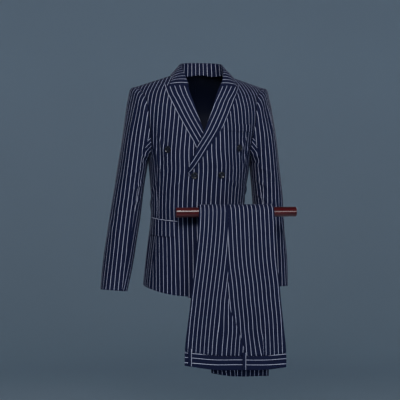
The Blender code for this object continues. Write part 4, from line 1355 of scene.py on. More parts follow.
@dataclass
class Collar:
    """The collar: a stand round the neck, and its fall over the shoulders.

    Attributes:
        lift: of its outer edge above the jacket's skin.
        bend: radius of the fold.
        fold: shares up the collar between which it bends.
        end: how far along the table its ends lie, where they meet the lapels.
        wide: how much further apart its stripes lie, from being stretched round the neck.
        step: how far apart places are compared to find where it faces.
    """

    form: Form
    cloth: bpy.types.Material
    lift: float = WALL + 2 * LAY
    bend: float = 0.0034
    fold: Pair = (0.45, 0.55)
    end: float = 1.045
    wide: float = 1.2
    height: float = 0.095
    step: float = 0.004

    def line(self, t: Array, column: str, mirrored: bool = False) -> Array:
        """Reads the collar's table at t, from -1 at the wearer's right end to 1 at the left end."""
        value = COLLAR.at(column, np.abs(t))
        return np.sign(t) * value if mirrored else value

    def on_skin(self, t: Array, line: str, lift: Array | float) -> Array:
        """A point of the collar's base or edge.

        Args:
            t: place along it.
            line: base or edge.
            lift: how far outside the skin it lies.

        Returns:
            The points.
        """
        centre = "fold_centre" if line == "base" else "edge_centre"
        x = self.line(t, centre) + self.line(t, line + "_x", True)
        depths = COLLAR.column(line + "_depth")
        turns = np.sign(depths) * self.form.turn_of(np.abs(depths))
        turn = curve(COLLAR.column("along"), turns, np.abs(t))
        depth = self.form.depth_of(np.abs(turn))
        angle = np.where(turn < 0, self.form.angle_at(x, depth, True), self.form.angle_at(x, depth))
        return self.form.skin(angle, np.abs(turn), lift)

    def section(self, t: Array, r: Array) -> Array:
        """A point of the collar.

        Args:
            t: place along it.
            r: share from its base over the fold to its edge.

        Returns:
            The points.
        """
        start, end = self.fold
        base = self.on_skin(t, "base", self.line(t, "base_lift"))
        edge = self.on_skin(t, "edge", self.lift)
        fold_x = self.line(t, "fold_centre") + self.line(t, "fold_x", True)
        fold = np.stack([fold_x, self.line(t, "fold_y"), self.line(t, "fold_z")], -1)
        up = unit(fold - base)
        out = edge - base
        out = unit(out - up * (out * up).sum(-1, keepdims=True))
        top = fold - up * self.bend
        centre = top + out * self.bend
        reach = edge - centre
        side, rise = ((reach * way).sum(-1, keepdims=True) for way in (out, up))
        length = np.hypot(side, rise)
        bulge = self.line(t, "bulge")[..., None]
        last_turn = np.arctan2(rise, -side) % (2 * math.pi) - np.arccos(np.clip(self.bend / length, -1, 1))
        last_turn = last_turn - np.arctan(math.pi * bulge / length)
        r = r[..., None]
        turn = np.clip((r - start) / (end - start), 0, 1) * last_turn
        bent, last = (centre + self.bend * (up * np.sin(a) - out * np.cos(a)) for a in (turn, last_turn))
        share = np.clip((r - end) / (1 - end), 0, 1)
        ahead = self.on_skin(t + self.step, "edge", 0.0) - self.on_skin(t - self.step, "edge", 0.0)
        away = unit(np.cross(edge - last, ahead))
        fall = part_way(last, edge, share) - away * bulge * np.sin(math.pi * share)
        stand = part_way(base, top, np.clip(r / start, 0, 1))
        return np.where(r < start, stand, np.where(r > end, fall, bent))

    def build(self) -> None:
        """Builds the collar."""

        def place(u: Array, v: Array, lift: Array) -> Array:
            """A point of the collar."""
            return self.section(u, v) - outward(self.section, u, v, self.step) * lift[..., None]

        def pattern(u: Array, v: Array) -> Arrays:
            """Stripes run across the collar, from its fold to its edge, and as many on both halves."""
            ends = np.linspace(-self.end, self.end, 401)
            middle = self.section(ends, 0.75 + 0 * ends)
            run = np.concatenate([[0], np.cumsum(np.linalg.norm(np.diff(middle, axis=0), axis=1))])
            stripes = round(float(run[-1]) / STRIPE / self.wide) - 0.25
            return np.interp(u, ends, run / run[-1] * stripes * STRIPE) + STRIPE * 0.125, v * self.height

        rows = spread((0, *self.fold, 1), (0.038, 0.010, 0.048), (0.0034, 0.0009, 0.0030))
        columns = even(0.45, 0.0032, -self.end, self.end)
        lay_out(weave("collar", columns, rows, place, pattern, Cut(), self.cloth), Held.HUNG)


@dataclass
class Sleeve:
    """A sleeve of two pieces, set into its armhole.

    Attributes:
        side: 1 on the wearer's left.
        rings: its ovals.
        seams: its two seams, as places round the armhole.
        head_fade: how far down it still takes after the armhole.
        head_roll: how far its head stands up over the seam.
        step: how far apart places are compared to find where it faces.
        cuff_facing: how far the cloth turns up inside at the cuff.
    """

    form: Form
    cloth: bpy.types.Material
    side: int
    rings: Table
    drape: Drape
    seams: Pair = (8.0, 14.0)
    head_fade: float = 0.200
    head_roll: float = 0.0016
    length: float = 0.624
    step: float = 0.02
    cuff_facing: float = 0.040

    def __post_init__(self) -> None:
        """Measures the armhole, whose lowest point becomes half a turn round the arm."""
        self.places = np.linspace(0, 22, 881)
        self.hole = self.form.armhole(self.side, self.places)
        lengths = np.append(0, np.cumsum(np.linalg.norm(np.diff(self.hole, axis=0), axis=1)))
        half = len(lengths) // 2
        down = lengths[:half] / lengths[half]
        up = 1 + (lengths[half:] - lengths[half]) / (lengths[-1] - lengths[half])
        self.turns = math.pi * np.append(down, up)

    def oval(self, angle: Array, v: Array) -> Array:
        """A point of the sleeve's plain oval.

        Args:
            angle: the angle round the arm from its top.
            v: the length down it.

        Returns:
            The points.
        """
        at = partial(self.rings.at, place=v)
        none = 0 * v
        outer = np.stack([self.side * at("outer_x"), none, at("outer_z")], -1)
        inner = np.stack([self.side * at("inner_x"), none, at("inner_z")], -1)
        forward = np.stack([none, -at("half_y"), at("tilt") * at("half_y")], -1)
        middle = (outer + inner) / 2 + np.stack([none, at("middle_y"), none], -1)
        return middle + (outer - inner) / 2 * np.cos(angle)[..., None] + forward * np.sin(angle)[..., None]

    def tube(self, angle: Array, v: Array) -> Array:
        """A point of the sleeve without its folds: an oval that becomes the armhole at its head.

        Args:
            angle: the angle round the arm.
            v: the length down it.

        Returns:
            The points.
        """
        angle, v = np.broadcast_arrays(np.asarray(angle, float), np.asarray(v, float))
        around = angle % (2 * math.pi)
        edge = np.stack([np.interp(around, self.turns, self.hole[:, axis]) for axis in range(3)], -1)
        edge = edge + np.array([self.side * 0.0006, 0, 0])
        head = edge - self.oval(around, 0 * v)
        return self.oval(around, v) + head * (np.clip(1 - v / self.head_fade, 0, 1) ** 2)[..., None]

    def round_from(self, u: Array, v: Array, start: float) -> Array:
        """Distance round the sleeve, along level lines.

        Args:
            u: angles round the arm.
            v: lengths down it.
            start: the angle from which the distances are counted.

        Returns:
            The distances.
        """
        points = self.tube(u, v)
        drops = np.maximum.accumulate(-points[..., 2], axis=0)
        levels = np.linspace(drops.min(), drops.max(), 320)
        columns = range(points.shape[1])
        lines = [[np.interp(levels, drops[:, j], points[:, j, axis]) for axis in range(3)] for j in columns]
        steps = np.linalg.norm(np.diff(np.transpose(lines, (2, 0, 1)), axis=1), axis=-1)
        top = np.searchsorted(levels, np.maximum(drops[0, 1:], drops[0, :-1])).clip(0, len(levels) - 1)
        steps = steps[np.maximum(np.arange(len(levels))[:, None], top), np.arange(len(top))]
        run = np.concatenate([np.zeros((len(levels), 1)), np.cumsum(steps, axis=1)], axis=1)
        run = run - np.array([np.interp(start, u[0], row) for row in run])[:, None]
        return np.stack([np.interp(drops[:, j], levels, run[:, j]) for j in columns], 1)

    def piece(self, name: str, first: float, last: float, start: float, width: float) -> Piece:
        """One of the sleeve's two pieces.

        Args:
            name: the piece's name.
            first: the angle of its first seam.
            last: the angle of its last seam.
            start: the angle from which its stripes are counted.
            width: its rough width.

        Returns:
            The piece.
        """

        def place(u: Array, v: Array, lift: Array) -> Array:
            """A point of the piece."""
            normal = outward(self.tube, u, v, self.step) * -self.side
            soft = self.drape.height(u % (2 * math.pi), v) * step_up(v, 0.006, 0.050)
            top = np.clip(np.cos(u), 0, 1) ** 0.5
            roll = self.head_roll * top * np.exp(-(((v - 0.009) / 0.008) ** 2))
            share = (2 * u - first - last) / (last - first)
            gap = -share * np.abs(share) * SEAM / 2 / self.drape.radius
            return self.tube(u + gap, v) + normal * (lift + soft + roll)[..., None]

        def pattern(u: Array, v: Array) -> Arrays:
            """Stripes run down the sleeve."""
            return self.round_from(u, v, start), v

        columns, rows = even(width, PITCH, first, last), even(self.length, PITCH, 0, self.length)
        cut = Cut(facing=(-1, -1, -1, self.cuff_facing), sewn=(True, True, True, False))
        return weave(name, columns, rows, place, pattern, cut, self.cloth)

    def build(self) -> None:
        """Builds both pieces."""
        word = "left" if self.side > 0 else "right"
        front, rear = (float(np.interp(seam, self.places, self.turns)) for seam in self.seams)
        lay_out(self.piece(f"sleeve_under_{word}", front, rear, math.pi, 0.13), Held.HUNG)
        top = 2 * math.pi
        lay_out(self.piece(f"sleeve_upper_{word}", rear, front + top, top, 0.27), Held.HUNG)


@dataclass
class Pockets:
    """The hip pockets' flaps and jets, and the chest welt.

    Attributes:
        ends: the angles of a flap's two ends.
        top: depth of a flap's top at its two ends.
        foot: depth of its foot at its two ends.
        jet: the jet's height.
        jet_stripe: share down it at which a stripe shows.
        corner: radius of the flap's lower corners.
        welt_x: x of the welt's two ends.
        welt_shift: how far its stripes lie beside the front's.
    """

    form: Form
    cloth: bpy.types.Material
    ends: Pair = (math.radians(27.0), math.radians(78.0))
    top: Pair = (0.4465, 0.4375)
    foot: Pair = (0.4905, 0.4885)
    cut: Cut = Cut(thickness=0.0022)
    jet: float = 0.0050
    jet_stripe: float = 0.42
    corner: float = 0.009
    flap_width: float = 0.128
    pitch: float = 0.0026
    welt_x: Pair = (0.0630, 0.1400)
    welt_top: float = 0.150
    welt_height: float = 0.023
    welt_shift: float = 0.0010

    def patch(
        self,
        name: str,
        steps: tuple[Steps, Steps],
        spot: Pattern,
        lift_of: Lift,
        bulge: Lift,
        pattern: Pattern,
    ) -> Piece:
        """A piece that lies on the body's panels.

        Args:
            name: the piece's name.
            steps: places across it and down it.
            spot: gives angle and depth of each place.
            lift_of: how far the panel under it stands off the skin.
            bulge: how far the piece bulges at each place.
            pattern: place on its cloth.

        Returns:
            The piece.
        """

        def rise(u: Array, v: Array) -> Array:
            """How far its face stands off the panel."""
            return LAY + self.cut.thickness + bulge(u, v)

        return weave(name, *steps, self.form.laid(spot, lift_of, rise), pattern, self.cut, self.cloth)

    def hip(self, side: Side) -> None:
        """A flap and the jet over it."""

        def flap_spot(u: Array, v: Array) -> Arrays:
            """Angle and depth on the flap, its lower corners rounded."""
            near = np.minimum(u, 1 - u) * self.flap_width
            round_off = self.corner * (1 - np.sqrt(1 - np.clip(1 - near / self.corner, 0, 1) ** 2))
            depth = part_way(part_way(*self.top, u), part_way(*self.foot, u) - round_off, v)
            return side.sign * part_way(*self.ends, u), depth

        def jet_spot(u: Array, v: Array) -> Arrays:
            """Angle and depth on the jet."""
            return side.sign * part_way(*self.ends, u), part_way(*self.top, u) - SEAM - self.jet * (1 - v)

        def flap_pattern(u: Array, v: Array) -> Arrays:
            """The flap's stripes meet the front's."""
            return self.form.front_cloth(*flap_spot(u, v))

        def jet_pattern(u: Array, v: Array) -> Arrays:
            """The jet is cut along a stripe, which shows at its middle."""
            return (v - self.jet_stripe) * self.jet, u * self.flap_width

        def flap_bulge(u: Array, v: Array) -> Array:
            """The flap lifts a little over its foot, more at one corner."""
            return 0.0010 * v**1.5 + 0.0008 * np.sin(2.6 * math.pi * u + side.sign) * v**2

        def jet_bulge(u: Array, v: Array) -> Array:
            """The jet is a narrow roll."""
            return 0.0006 * np.sin(math.pi * v)

        columns = spread((0, 0.07, 0.93, 1), (0.009, 0.110, 0.009), (0.0007, self.pitch, 0.0007))
        steps = columns, even(0.046, self.pitch)
        flap = self.patch(f"hip_flap_{side.word}", steps, flap_spot, side.lift_of, flap_bulge, flap_pattern)
        steps = even(self.flap_width, self.pitch), even(self.jet, 0.0009)
        jet = self.patch(f"hip_jet_{side.word}", steps, jet_spot, side.lift_of, jet_bulge, jet_pattern)
        lay_out(flap, Held.HUNG, [jet])

    def welt(self) -> None:
        """The welt of the breast pocket, on the wearer's left."""

        def spot(u: Array, v: Array) -> Arrays:
            """Angle and depth on the welt."""
            depth = self.welt_top + self.welt_height * v
            return self.form.angle_at(part_way(*self.welt_x, u), depth), depth

        def pattern(u: Array, v: Array) -> Arrays:
            """The welt's stripes lie a little beside the front's."""
            across, along = self.form.front_cloth(*spot(u, v))
            return across + self.welt_shift, along

        def bulge(u: Array, v: Array) -> Array:
            """The welt's top stands off a little."""
            return 0.0006 * (1 - v) ** 2

        steps = even(0.080, self.pitch), even(self.welt_height, 0.0024)
        lay_out(self.patch("chest_welt", steps, spot, over_lift, bulge, pattern), Held.HUNG)

    def build(self) -> None:
        """Builds the three pockets."""
        self.hip(OVER)
        self.hip(UNDER)
        self.welt()


def edges_of(verts: Sequence[bmesh.types.BMVert]) -> list[bmesh.types.BMEdge]:
    """The edges at some vertices."""
    return list({edge for vert in verts for edge in vert.link_edges})


@dataclass
class Buttons:
    """Dished four-hole buttons, their thread and the buttonholes.

    Attributes:
        profile: radius and height of its rings in millimetres, from the dish over the rim to the underside.
        hole_radius: of the four holes.
        hole_reach: of their middles from the button's middle.
        strand: radius of a strand of thread.
        strand_aside: half the distance between two strands.
        slit_half: half the length of a buttonhole.
        slit_shift: how far its middle lies beside the button's.
    """

    form: Form
    horn: bpy.types.Material
    thread: bpy.types.Material
    profile: tuple[Pair, ...] = (
        (6.2, 2.6), (6.7, 2.7), (7.4, 3.2), (8.0, 3.7), (8.6, 3.9), (9.2, 3.8),
        (9.7, 3.4), (10.0, 2.7), (9.9, 1.8), (9.2, 1.0), (7.8, 0.6),
    )
    segments: int = 48
    hole_radius: float = 0.00085
    hole_reach: float = 0.0017
    hole_segments: int = 14
    strand: float = 0.00030
    strand_aside: float = 0.00028
    slit_half: float = 0.0125
    slit_shift: float = 0.0065

    @property
    def levels(self) -> Pair:
        """Heights of the dish's floor and the underside."""
        return self.profile[0][1] * MM, self.profile[-1][1] * MM

    def put(self, bm: bmesh.types.BMesh, spot: Spot) -> None:
        """Moves a bmesh on to a button's place, where its z axis faces out from the cloth.

        Args:
            bm: the bmesh.
            spot: the button's place.
        """
        lift = float((over_lift if spot.over else no_lift)(spot.x, spot.depth))
        foot = Vector(self.form.on_front(spot.x, spot.depth, lift))
        out = (Vector(self.form.on_front(spot.x, spot.depth, lift + 0.001)) - foot).normalized()
        across = Vector((0, 0, 1)).cross(out).normalized()
        basis = Matrix((across, out.cross(across), out)).transposed().to_4x4()
        place = Matrix.Translation(foot) @ basis @ Matrix.Translation((0, 0, LAY))
        bmesh.ops.recalc_face_normals(bm, faces=bm.faces)
        bmesh.ops.transform(bm, matrix=place, verts=bm.verts)

    def ring(self, bm: bmesh.types.BMesh, radius: float, middle: Sequence[float], segments: int) -> list:
        """Adds a ring, and gives its edges."""
        verts = bmesh.ops.create_circle(bm, cap_ends=False, radius=radius, segments=segments)["verts"]
        bmesh.ops.translate(bm, verts=verts, vec=middle)
        return edges_of(verts)

    def button(self, spot: Spot) -> None:
        """One button: rings bridged from the dish to the underside, with four holes through."""
        bm = bmesh.new()
        rings = [self.ring(bm, radius * MM, (0, 0, z * MM), self.segments) for radius, z in self.profile]
        for first, second in zip(rings, rings[1:]):
            bmesh.ops.bridge_loops(bm, edges=first + second)
        reach = (-self.hole_reach, self.hole_reach)
        holes = [
            [self.ring(bm, self.hole_radius, (x, y, z), self.hole_segments) for z in self.levels]
            for x in reach
            for y in reach
        ]
        for outer, *inner in zip((rings[0], rings[-1]), *holes):
            bmesh.ops.triangle_fill(bm, use_beauty=True, use_dissolve=False, edges=sum(inner, outer))
        for upper, lower in holes:
            bmesh.ops.bridge_loops(bm, edges=upper + lower)
        bmesh.ops.remove_doubles(bm, verts=bm.verts, dist=1e-7)
        self.put(bm, spot)
        item = link(f"{spot.name}_horn", to_mesh(bm, spot.name, 50), self.horn, Slot.BUTTON)
        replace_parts(item, spot.name)
        LOG.info("%s: %.0f mm across", spot.name, 2 * max(radius for radius, _ in self.profile))

    def stitches(self, spot: Spot) -> None:
        """The thread: two pairs of strands across the holes, and the shank under the button."""
        bm = bmesh.new()
        reach = self.hole_reach
        for y in (side * reach + aside * self.strand_aside for side in (-1, 1) for aside in (-1, 1)):
            circle = bmesh.ops.create_circle(bm, cap_ends=True, radius=self.strand, segments=8)["verts"]
            bmesh.ops.translate(bm, verts=circle, vec=(-reach, y, 0))
            faces = list({face for vert in circle for face in vert.link_faces})
            turn = {"cent": (0, y, 0), "axis": (0, 1, 0), "angle": math.pi, "steps": 12}
            bmesh.ops.spin(bm, geom=circle + edges_of(circle) + faces, use_merge=False, **turn)
        for vert in bm.verts:
            vert.co.z = self.levels[0] - 0.0004 + vert.co.z * 0.55
        sizes = {"radius1": 0.0021, "radius2": 0.0017, "depth": 0.0019}
        shank = bmesh.ops.create_cone(bm, cap_ends=True, segments=14, **sizes)
        bmesh.ops.translate(bm, verts=shank["verts"], vec=(0, 0, 0.0008))
        self.put(bm, spot)
        link(f"{spot.name}_thread", to_mesh(bm, f"{spot.name}_thread"), self.thread, Slot.BUTTON)

    def buttonhole(self, name: str, spot: Spot) -> None:
        """A worked buttonhole: a raised stitched band round a slit, wider at the eye by the front's edge.

        Args:
            name: its name.
            spot: its button's place.
        """
        bm = bmesh.new()
        bmesh.ops.create_grid(bm, x_segments=40, y_segments=14, size=1)
        run, side = np.array([vert.co.xy for vert in bm.verts]).T
        eye = np.exp(-(((run + 0.80) / 0.14) ** 2))
        half = 0.00145 + 0.0007 * eye
        taper = np.sqrt(np.clip(1 - np.clip((np.abs(run) - 0.92) / 0.08, 0, 1) ** 2, 0, 1))
        x = spot.x - self.slit_shift + run * self.slit_half
        depth = spot.depth + side * half * np.maximum(taper, 0.05)
        slit = np.exp(-((side / (0.20 + 0.30 * eye)) ** 2))
        rise = (1 - side**4) * (0.00085 + 0.00010 * np.sin(run * 62)) - 0.00080 * slit * (np.abs(run) < 0.9)
        rim = (np.abs(side) > 0.99) | (np.abs(run) > 0.99)
        rise = np.where(rim, -0.0004, rise * np.maximum(taper, 0.1))
        points = self.form.on_front(x, depth, over_lift(x, depth) + 0.0002 + rise)
        for vert, point in zip(bm.verts, points):
            vert.co = point
        bm.normal_update()
        bmesh.ops.solidify(bm, geom=bm.faces[:], thickness=0.0003)
        bmesh.ops.recalc_face_normals(bm, faces=bm.faces)
        link(name, to_mesh(bm, name), self.thread, Slot.SUITING)
        LOG.info("%s: %.0f mm long", name, 2 * self.slit_half / MM)

    def build(self) -> None:
        """Builds the six buttons, their thread and the buttonholes."""
        for spot in BUTTONS:
            self.button(spot)
            self.stitches(spot)
        self.buttonhole("buttonhole_waist", BUTTONS[2])
        self.buttonhole("buttonhole_lower", BUTTONS[4])


def turned(m: Array, radius: float, lift: Array) -> Arrays:
    """A turned edge's section.

    Args:
        m: metres of cloth from where it starts to turn, negative round the edge.
        radius: of its outer face.
        lift: outwards from that face.

    Returns:
        Distance in from the extreme edge, and height above the outer face.
    """
    phi = np.clip(-m / radius, 0, math.pi)
    straight = np.maximum(m, 0) + np.maximum(-m - math.pi * radius, 0)
    return radius - (radius + lift) * np.sin(phi) + straight, -radius + (radius + lift) * np.cos(phi)


def dart(x: Array, drop: Array) -> Array:
    """How far the stripes beside the dart by the waist have moved towards it."""
    share = np.clip((drop - 0.345) / 0.080, 0, 1)
    away = x - (0.1690 + 0.0015 * share)
    return 0.0062 * (1 - np.tanh(away / 0.0012)) * np.exp(np.minimum(away, 0) / 0.040) * share


def pleat(x: Array, drop: Array) -> Array:
    """How far the stripes beside the short pleat have moved away from the creased edge."""
    soft = 0.0045 + 0.0070 * (1 - step_up(drop, 0.290, 0.358))
    beside = 0.0060 * (1 + np.tanh((x - 0.0360) / soft)) / 2 + 0.0030 * step_up(x, 0.045, 0.070)
    return beside * step_up(drop, 0.255, 0.365)


@dataclass
class Trousers:
    """The trousers: both legs laid together and folded over the rod, the waist in front.

    Attributes:
        core: the three hidden layers together.
        seam: the gap between pieces that are sewn together.
        fold_radius: radius of the innermost layer's bend.
        wall: thickness of the outer cloth.
        edge_inset: how far the third layer's edges lie inside the panels'.
        band_at: where the legs' edges are read for its ends.
        loops: x of the two belt loops.
        turn_in: how wide the edges are turned in.
        front_fall: cloth from the bend to the waist.
        rear_fall: cloth from the bend to the hems.
        taken_up: how much closer the stripes of the two panels lie than in the jacket.
        flare: how far those panels' stripes move out towards the waist.
        first_stripe: where the first stripe lies from the creased edges.
    """

    cloth: bpy.types.Material
    rod_y: float
    rod_z: float
    core: float = 0.0055
    seam: float = 0.0004
    fold_radius: float = 0.0156
    wall: float = 0.0018
    hidden_wall: float = 0.0017
    edge_inset: float = 0.0022
    band_wall: float = 0.0026
    band_height: float = 0.042
    band_at: float = -0.460
    loop_width: float = 0.011
    loop_wall: float = 0.0015
    loops: Pair = (-0.052, 0.111)
    turn_in: float = 0.010
    front_fall: float = 0.425
    rear_fall: float = 0.498
    pitch: float = 0.0036
    taken_up: Pair = (0.92, 0.955)
    flare: Pair = (0.0034, 0.0060)
    first_stripe: float = 0.0092
    drape: Drape = field(default_factory=lambda: Drape(LEG_FOLDS, LEG_WAVES, closed=False, strength=1.8))

    @property
    def quarter(self) -> float:
        """Cloth from the rod's top to the end of the bend."""
        return self.fold_radius * math.pi / 2

    def hang(self, x: Array, along: Array, out: Array) -> Array:
        """A point of the cloth over the rod.

        Args:
            x: place along the rod.
            along: cloth from the rod's top, negative in front.
            out: distance from the innermost layer.

        Returns:
            The points.
        """
        drop = np.maximum(np.abs(along) - self.quarter, 0)
        soft = self.drape.height(x, drop) * step_up(drop, 0.0, 0.05)
        radius = self.fold_radius + out + np.where(along < 0, soft, -0.4 * np.abs(soft))
        turn = np.clip(along / self.quarter, -1, 1) * math.pi / 2
        y, z = self.rod_y + radius * np.sin(turn), self.rod_z + radius * np.cos(turn) - drop
        return np.stack([x + 0 * drop, y, z], -1)

    def fan(self, along: Array, front_drop: Array, rear_drop: Array) -> Array:
        """Stretches the rows so that the first and last lie at the given drops."""
        share = np.where(along < 0, front_drop / self.front_fall, rear_drop / self.rear_fall)
        straight = np.maximum(np.abs(along) - self.quarter, 0)
        return np.sign(along) * (np.minimum(np.abs(along), self.quarter) + straight * share)

    @cached_property
    def rows(self) -> Steps:
        """Rows from the waist over the rod to the hems."""
        knots = (-self.quarter - self.front_fall, -self.quarter, self.quarter, self.quarter + self.rear_fall)
        sizes = (self.front_fall, 2.6 * self.quarter, self.rear_fall)
        return spread(knots, sizes, (self.pitch, 0.0024, self.pitch * 1.2))

    def doubled(self, radius: float, fine: float, knots: Floats, sizes: Floats, pitches: Floats) -> Steps:
        """Places across a piece whose ends turn in by a radius, with fine steps round them."""
        turn, flat = math.pi * radius, self.turn_in
        knots = (-turn - flat, -turn, *knots, 1 + turn, 1 + turn + flat)
        return spread(knots, (flat, turn, *sizes, turn, flat), (0.003, fine, *pitches, fine, 0.003))

    def panel(self, name: str, number: int) -> Piece:
        """A trouser panel of the outer leg: from its creased edge, which turns in, to the side seam.

        Args:
            name: its name.
            number: 0 for the one on the left, and 1 for the one on the right.

        Returns:
            The panel.
        """
        radius = (self.wall + self.seam + self.hidden_wall) / 2
        out = self.core + self.seam + self.wall

        def across(u: Array, v: Array, lift: Array) -> Arrays:
            """x, height and the cloth's distance from the creased edge."""
            edge = LEGS.at(("left", "right")[number], v)
            width = np.abs(LEGS.at("seam", v) - edge) - self.seam / 2
            m = np.where(u < 0, u, u * (width - radius))
            inward, height = turned(m, radius, lift)
            return edge + (1, -1)[number] * inward, height, m

        def place(u: Array, v: Array, lift: Array) -> Array:
            """A point of the panel."""
            x, height, _ = across(u, v, lift)
            front_drop = BAND_FOOT.at("drop", x) - self.band_height - 2 * self.seam
            along = self.fan(v, front_drop, LEG_FOOT.at("drop", x))
            return self.hang(x, along, out + np.where(u < 0, height, lift))

        def pattern(u: Array, v: Array) -> Arrays:
            """Stripes run along the creased edge, and move at the pleat or the dart."""
            x, _, m = across(u, v, 0 * u)
            drop = np.where(v < 0, np.abs(v) - self.quarter, 0)
            moved = dart(x, drop) if number else -pleat(x, drop)
            flare = self.flare[number] * step_up(drop, 0.30, 0.425)
            return (m + moved - flare) / self.taken_up[number] + self.first_stripe, v

        turn = math.pi * radius
        knots, sizes = (-turn - self.turn_in, -turn, 0, 1), (self.turn_in, turn, 0.13)
        columns = spread(knots, sizes, (0.003, 0.0008, self.pitch))
        cut = Cut(thickness=self.wall, sewn=(False, True, True, False), dip=0.0007)
        return weave(name, columns, self.rows, place, pattern, cut, self.cloth)

    def hidden(self, name: str, out: float, inset: float, folded: bool, phase: float, foot: float) -> Piece:
        """A hidden layer, a little uneven at its edges.

        Args:
            name: its name.
            out: distance of its outer face from the innermost layer's inner face.
            inset: how far its edges lie inside the outer panels' edges.
            folded: whether its edges turn in round the layer beneath.
            phase: shifts the unevenness.
            foot: how far its hem and waist lie inside the outer ones.

        Returns:
            The layer.
        """
        radius = self.hidden_wall + 0.0001 if folded else 0.0

        def across(u: Array, v: Array, lift: Array) -> Arrays:
            """x, height and the cloth's distance from the creased edge."""
            wave = 0.0009 * np.sin(v * 17 + phase) + 0.0005 * np.sin(v * 41 + 2 * phase)
            left = LEGS.at("left", v) + inset + wave
            right = LEGS.at("right", v) - inset + 0.0008 * np.sin(v * 21 + 3 * phase)
            seam = LEGS.at("seam", v)
            near = np.minimum(u, 1 - u)
            m = np.where(near < 0, near, near * 2 * (np.where(u < 0.5, seam - left, right - seam) - radius))
            inward, height = turned(m, radius, lift) if folded else (m, lift)
            return np.where(u < 0.5, left + inward, right - inward), np.where(near < 0, height, lift), m

        def place(u: Array, v: Array, lift: Array) -> Array:
            """A point of the layer."""
            x, height, _ = across(u, v, lift)
            rear_drop = LEG_FOOT.at("drop", x) - foot + 0.0012 * np.sin(x * 60 + phase)
            return self.hang(x, self.fan(v, BAND_FOOT.at("drop", x) - foot, rear_drop), out + height)

        def pattern(u: Array, v: Array) -> Arrays:
            """Stripes run along both edges, half a stripe inside them, and meet at the seam."""
            return across(u, v, 0 * u)[2] + inset + STRIPE / 2, v

        knots = (0, 0.04, 0.498, 0.502, 0.96, 1)
        sizes, pitches = (0.010, 0.12, 0.001, 0.12, 0.010), (0.003, 0.0070, 0.001, 0.0070, 0.003)
        plain = spread(knots, sizes, pitches)
        columns = self.doubled(radius, 0.0008, knots, sizes, pitches) if folded else plain
        return weave(name, columns, self.rows, place, pattern, Cut(thickness=self.hidden_wall), self.cloth)

    def waistband(self) -> Piece:
        """The waistband at the foot of the front fall, its ends turned in."""
        radius = (self.seam + self.band_wall + self.hidden_wall) / 2
        out = self.core + self.seam + self.band_wall
        left, right = (float(LEGS.at(edge, self.band_at)) for edge in ("left", "right"))

        def across(u: Array, lift: Array) -> Arrays:
            """x and height."""
            near = np.minimum(u, 1 - u)
            m = np.where(near < 0, near, near * (right - left - 2 * radius))
            inward, height = turned(m, radius, lift)
            return np.where(u < 0.5, left + inward, right - inward), np.where(near < 0, height, lift)

        def place(u: Array, v: Array, lift: Array) -> Array:
            """A point of the band."""
            x, height = across(u, lift)
            drop = BAND_FOOT.at("drop", x) - self.band_height * (1 - v)
            return self.hang(x, -self.quarter - drop, out + height + 0.0005 * np.sin(math.pi * v))

        def pattern(u: Array, v: Array) -> Arrays:
            """Two stripes run along the band, and bow a little."""
            x, _ = across(u, 0 * u)
            bow = 0.0060 * ((x - 0.092) / 0.155) ** 2 - 0.0022
            return np.interp(v, (0, 0.30, 0.65, 1), (0.03, 1, 2, 2.8)) * STRIPE - 0.88 * bow, x

        columns = self.doubled(radius, 0.0009, (0, 1), (0.30,), (0.0034,))
        cut = Cut(thickness=self.band_wall, sewn=(False, False, True, False))
        return weave("waistband", columns, even(self.band_height, 0.0026), place, pattern, cut, self.cloth)

    def belt_loop(self, name: str, middle: float) -> Piece:
        """A belt loop over the waistband, its ends tucked in.

        Args:
            name: its name.
            middle: its x.

        Returns:
            The loop.
        """
        out = self.core + 2 * self.seam + self.band_wall + self.loop_wall

        def place(u: Array, v: Array, lift: Array) -> Array:
            """A point of the loop."""
            x = middle + self.loop_width * (u - 0.5)
            drop = BAND_FOOT.at("drop", x) - self.band_height * (1 - v) * 1.24 - 0.0012
            arch = 0.0016 * np.sin(math.pi * np.clip(v, 0, 1)) ** 0.7
            return self.hang(x, -self.quarter - drop, out + lift + arch)

        def pattern(u: Array, v: Array) -> Arrays:
            """A stripe runs down the loop by its right edge."""
            return (u - 0.91) * self.loop_width, v * self.band_height

        columns, rows = even(self.loop_width, 0.0012), even(self.band_height * 1.1, 0.0014)
        return weave(name, columns, rows, place, pattern, Cut(thickness=self.loop_wall), self.cloth)

    def build(self) -> None:
        """Builds the trousers and puts their pieces in place of their CAD nodes."""
        flat, inset = self.turn_in + 0.0026, self.edge_inset
        layers = [
            self.hidden("trouser_layer_second", self.core, flat, False, 0.4, 0.0015),
            self.hidden("trouser_layer_third", 2 * self.hidden_wall + 0.0002, inset, True, 1.7, 0.0026),
            self.hidden("trouser_layer_fourth", self.hidden_wall, inset + flat, False, 2.9, 0.0019),
        ]
        panels = [self.panel("trouser_front", 0), self.panel("trouser_back", 1)]
        band = self.waistband()
        loops = [self.belt_loop(f"belt_loop_{number}", x) for number, x in enumerate(self.loops, 1)]
        for piece in layers:
            lay_out(piece, Held.FOLDED, node="trouser_inner_layers")
        for piece in panels:
            lay_out(piece, Held.FOLDED)
        lay_out(band, Held.HUNG, loops)


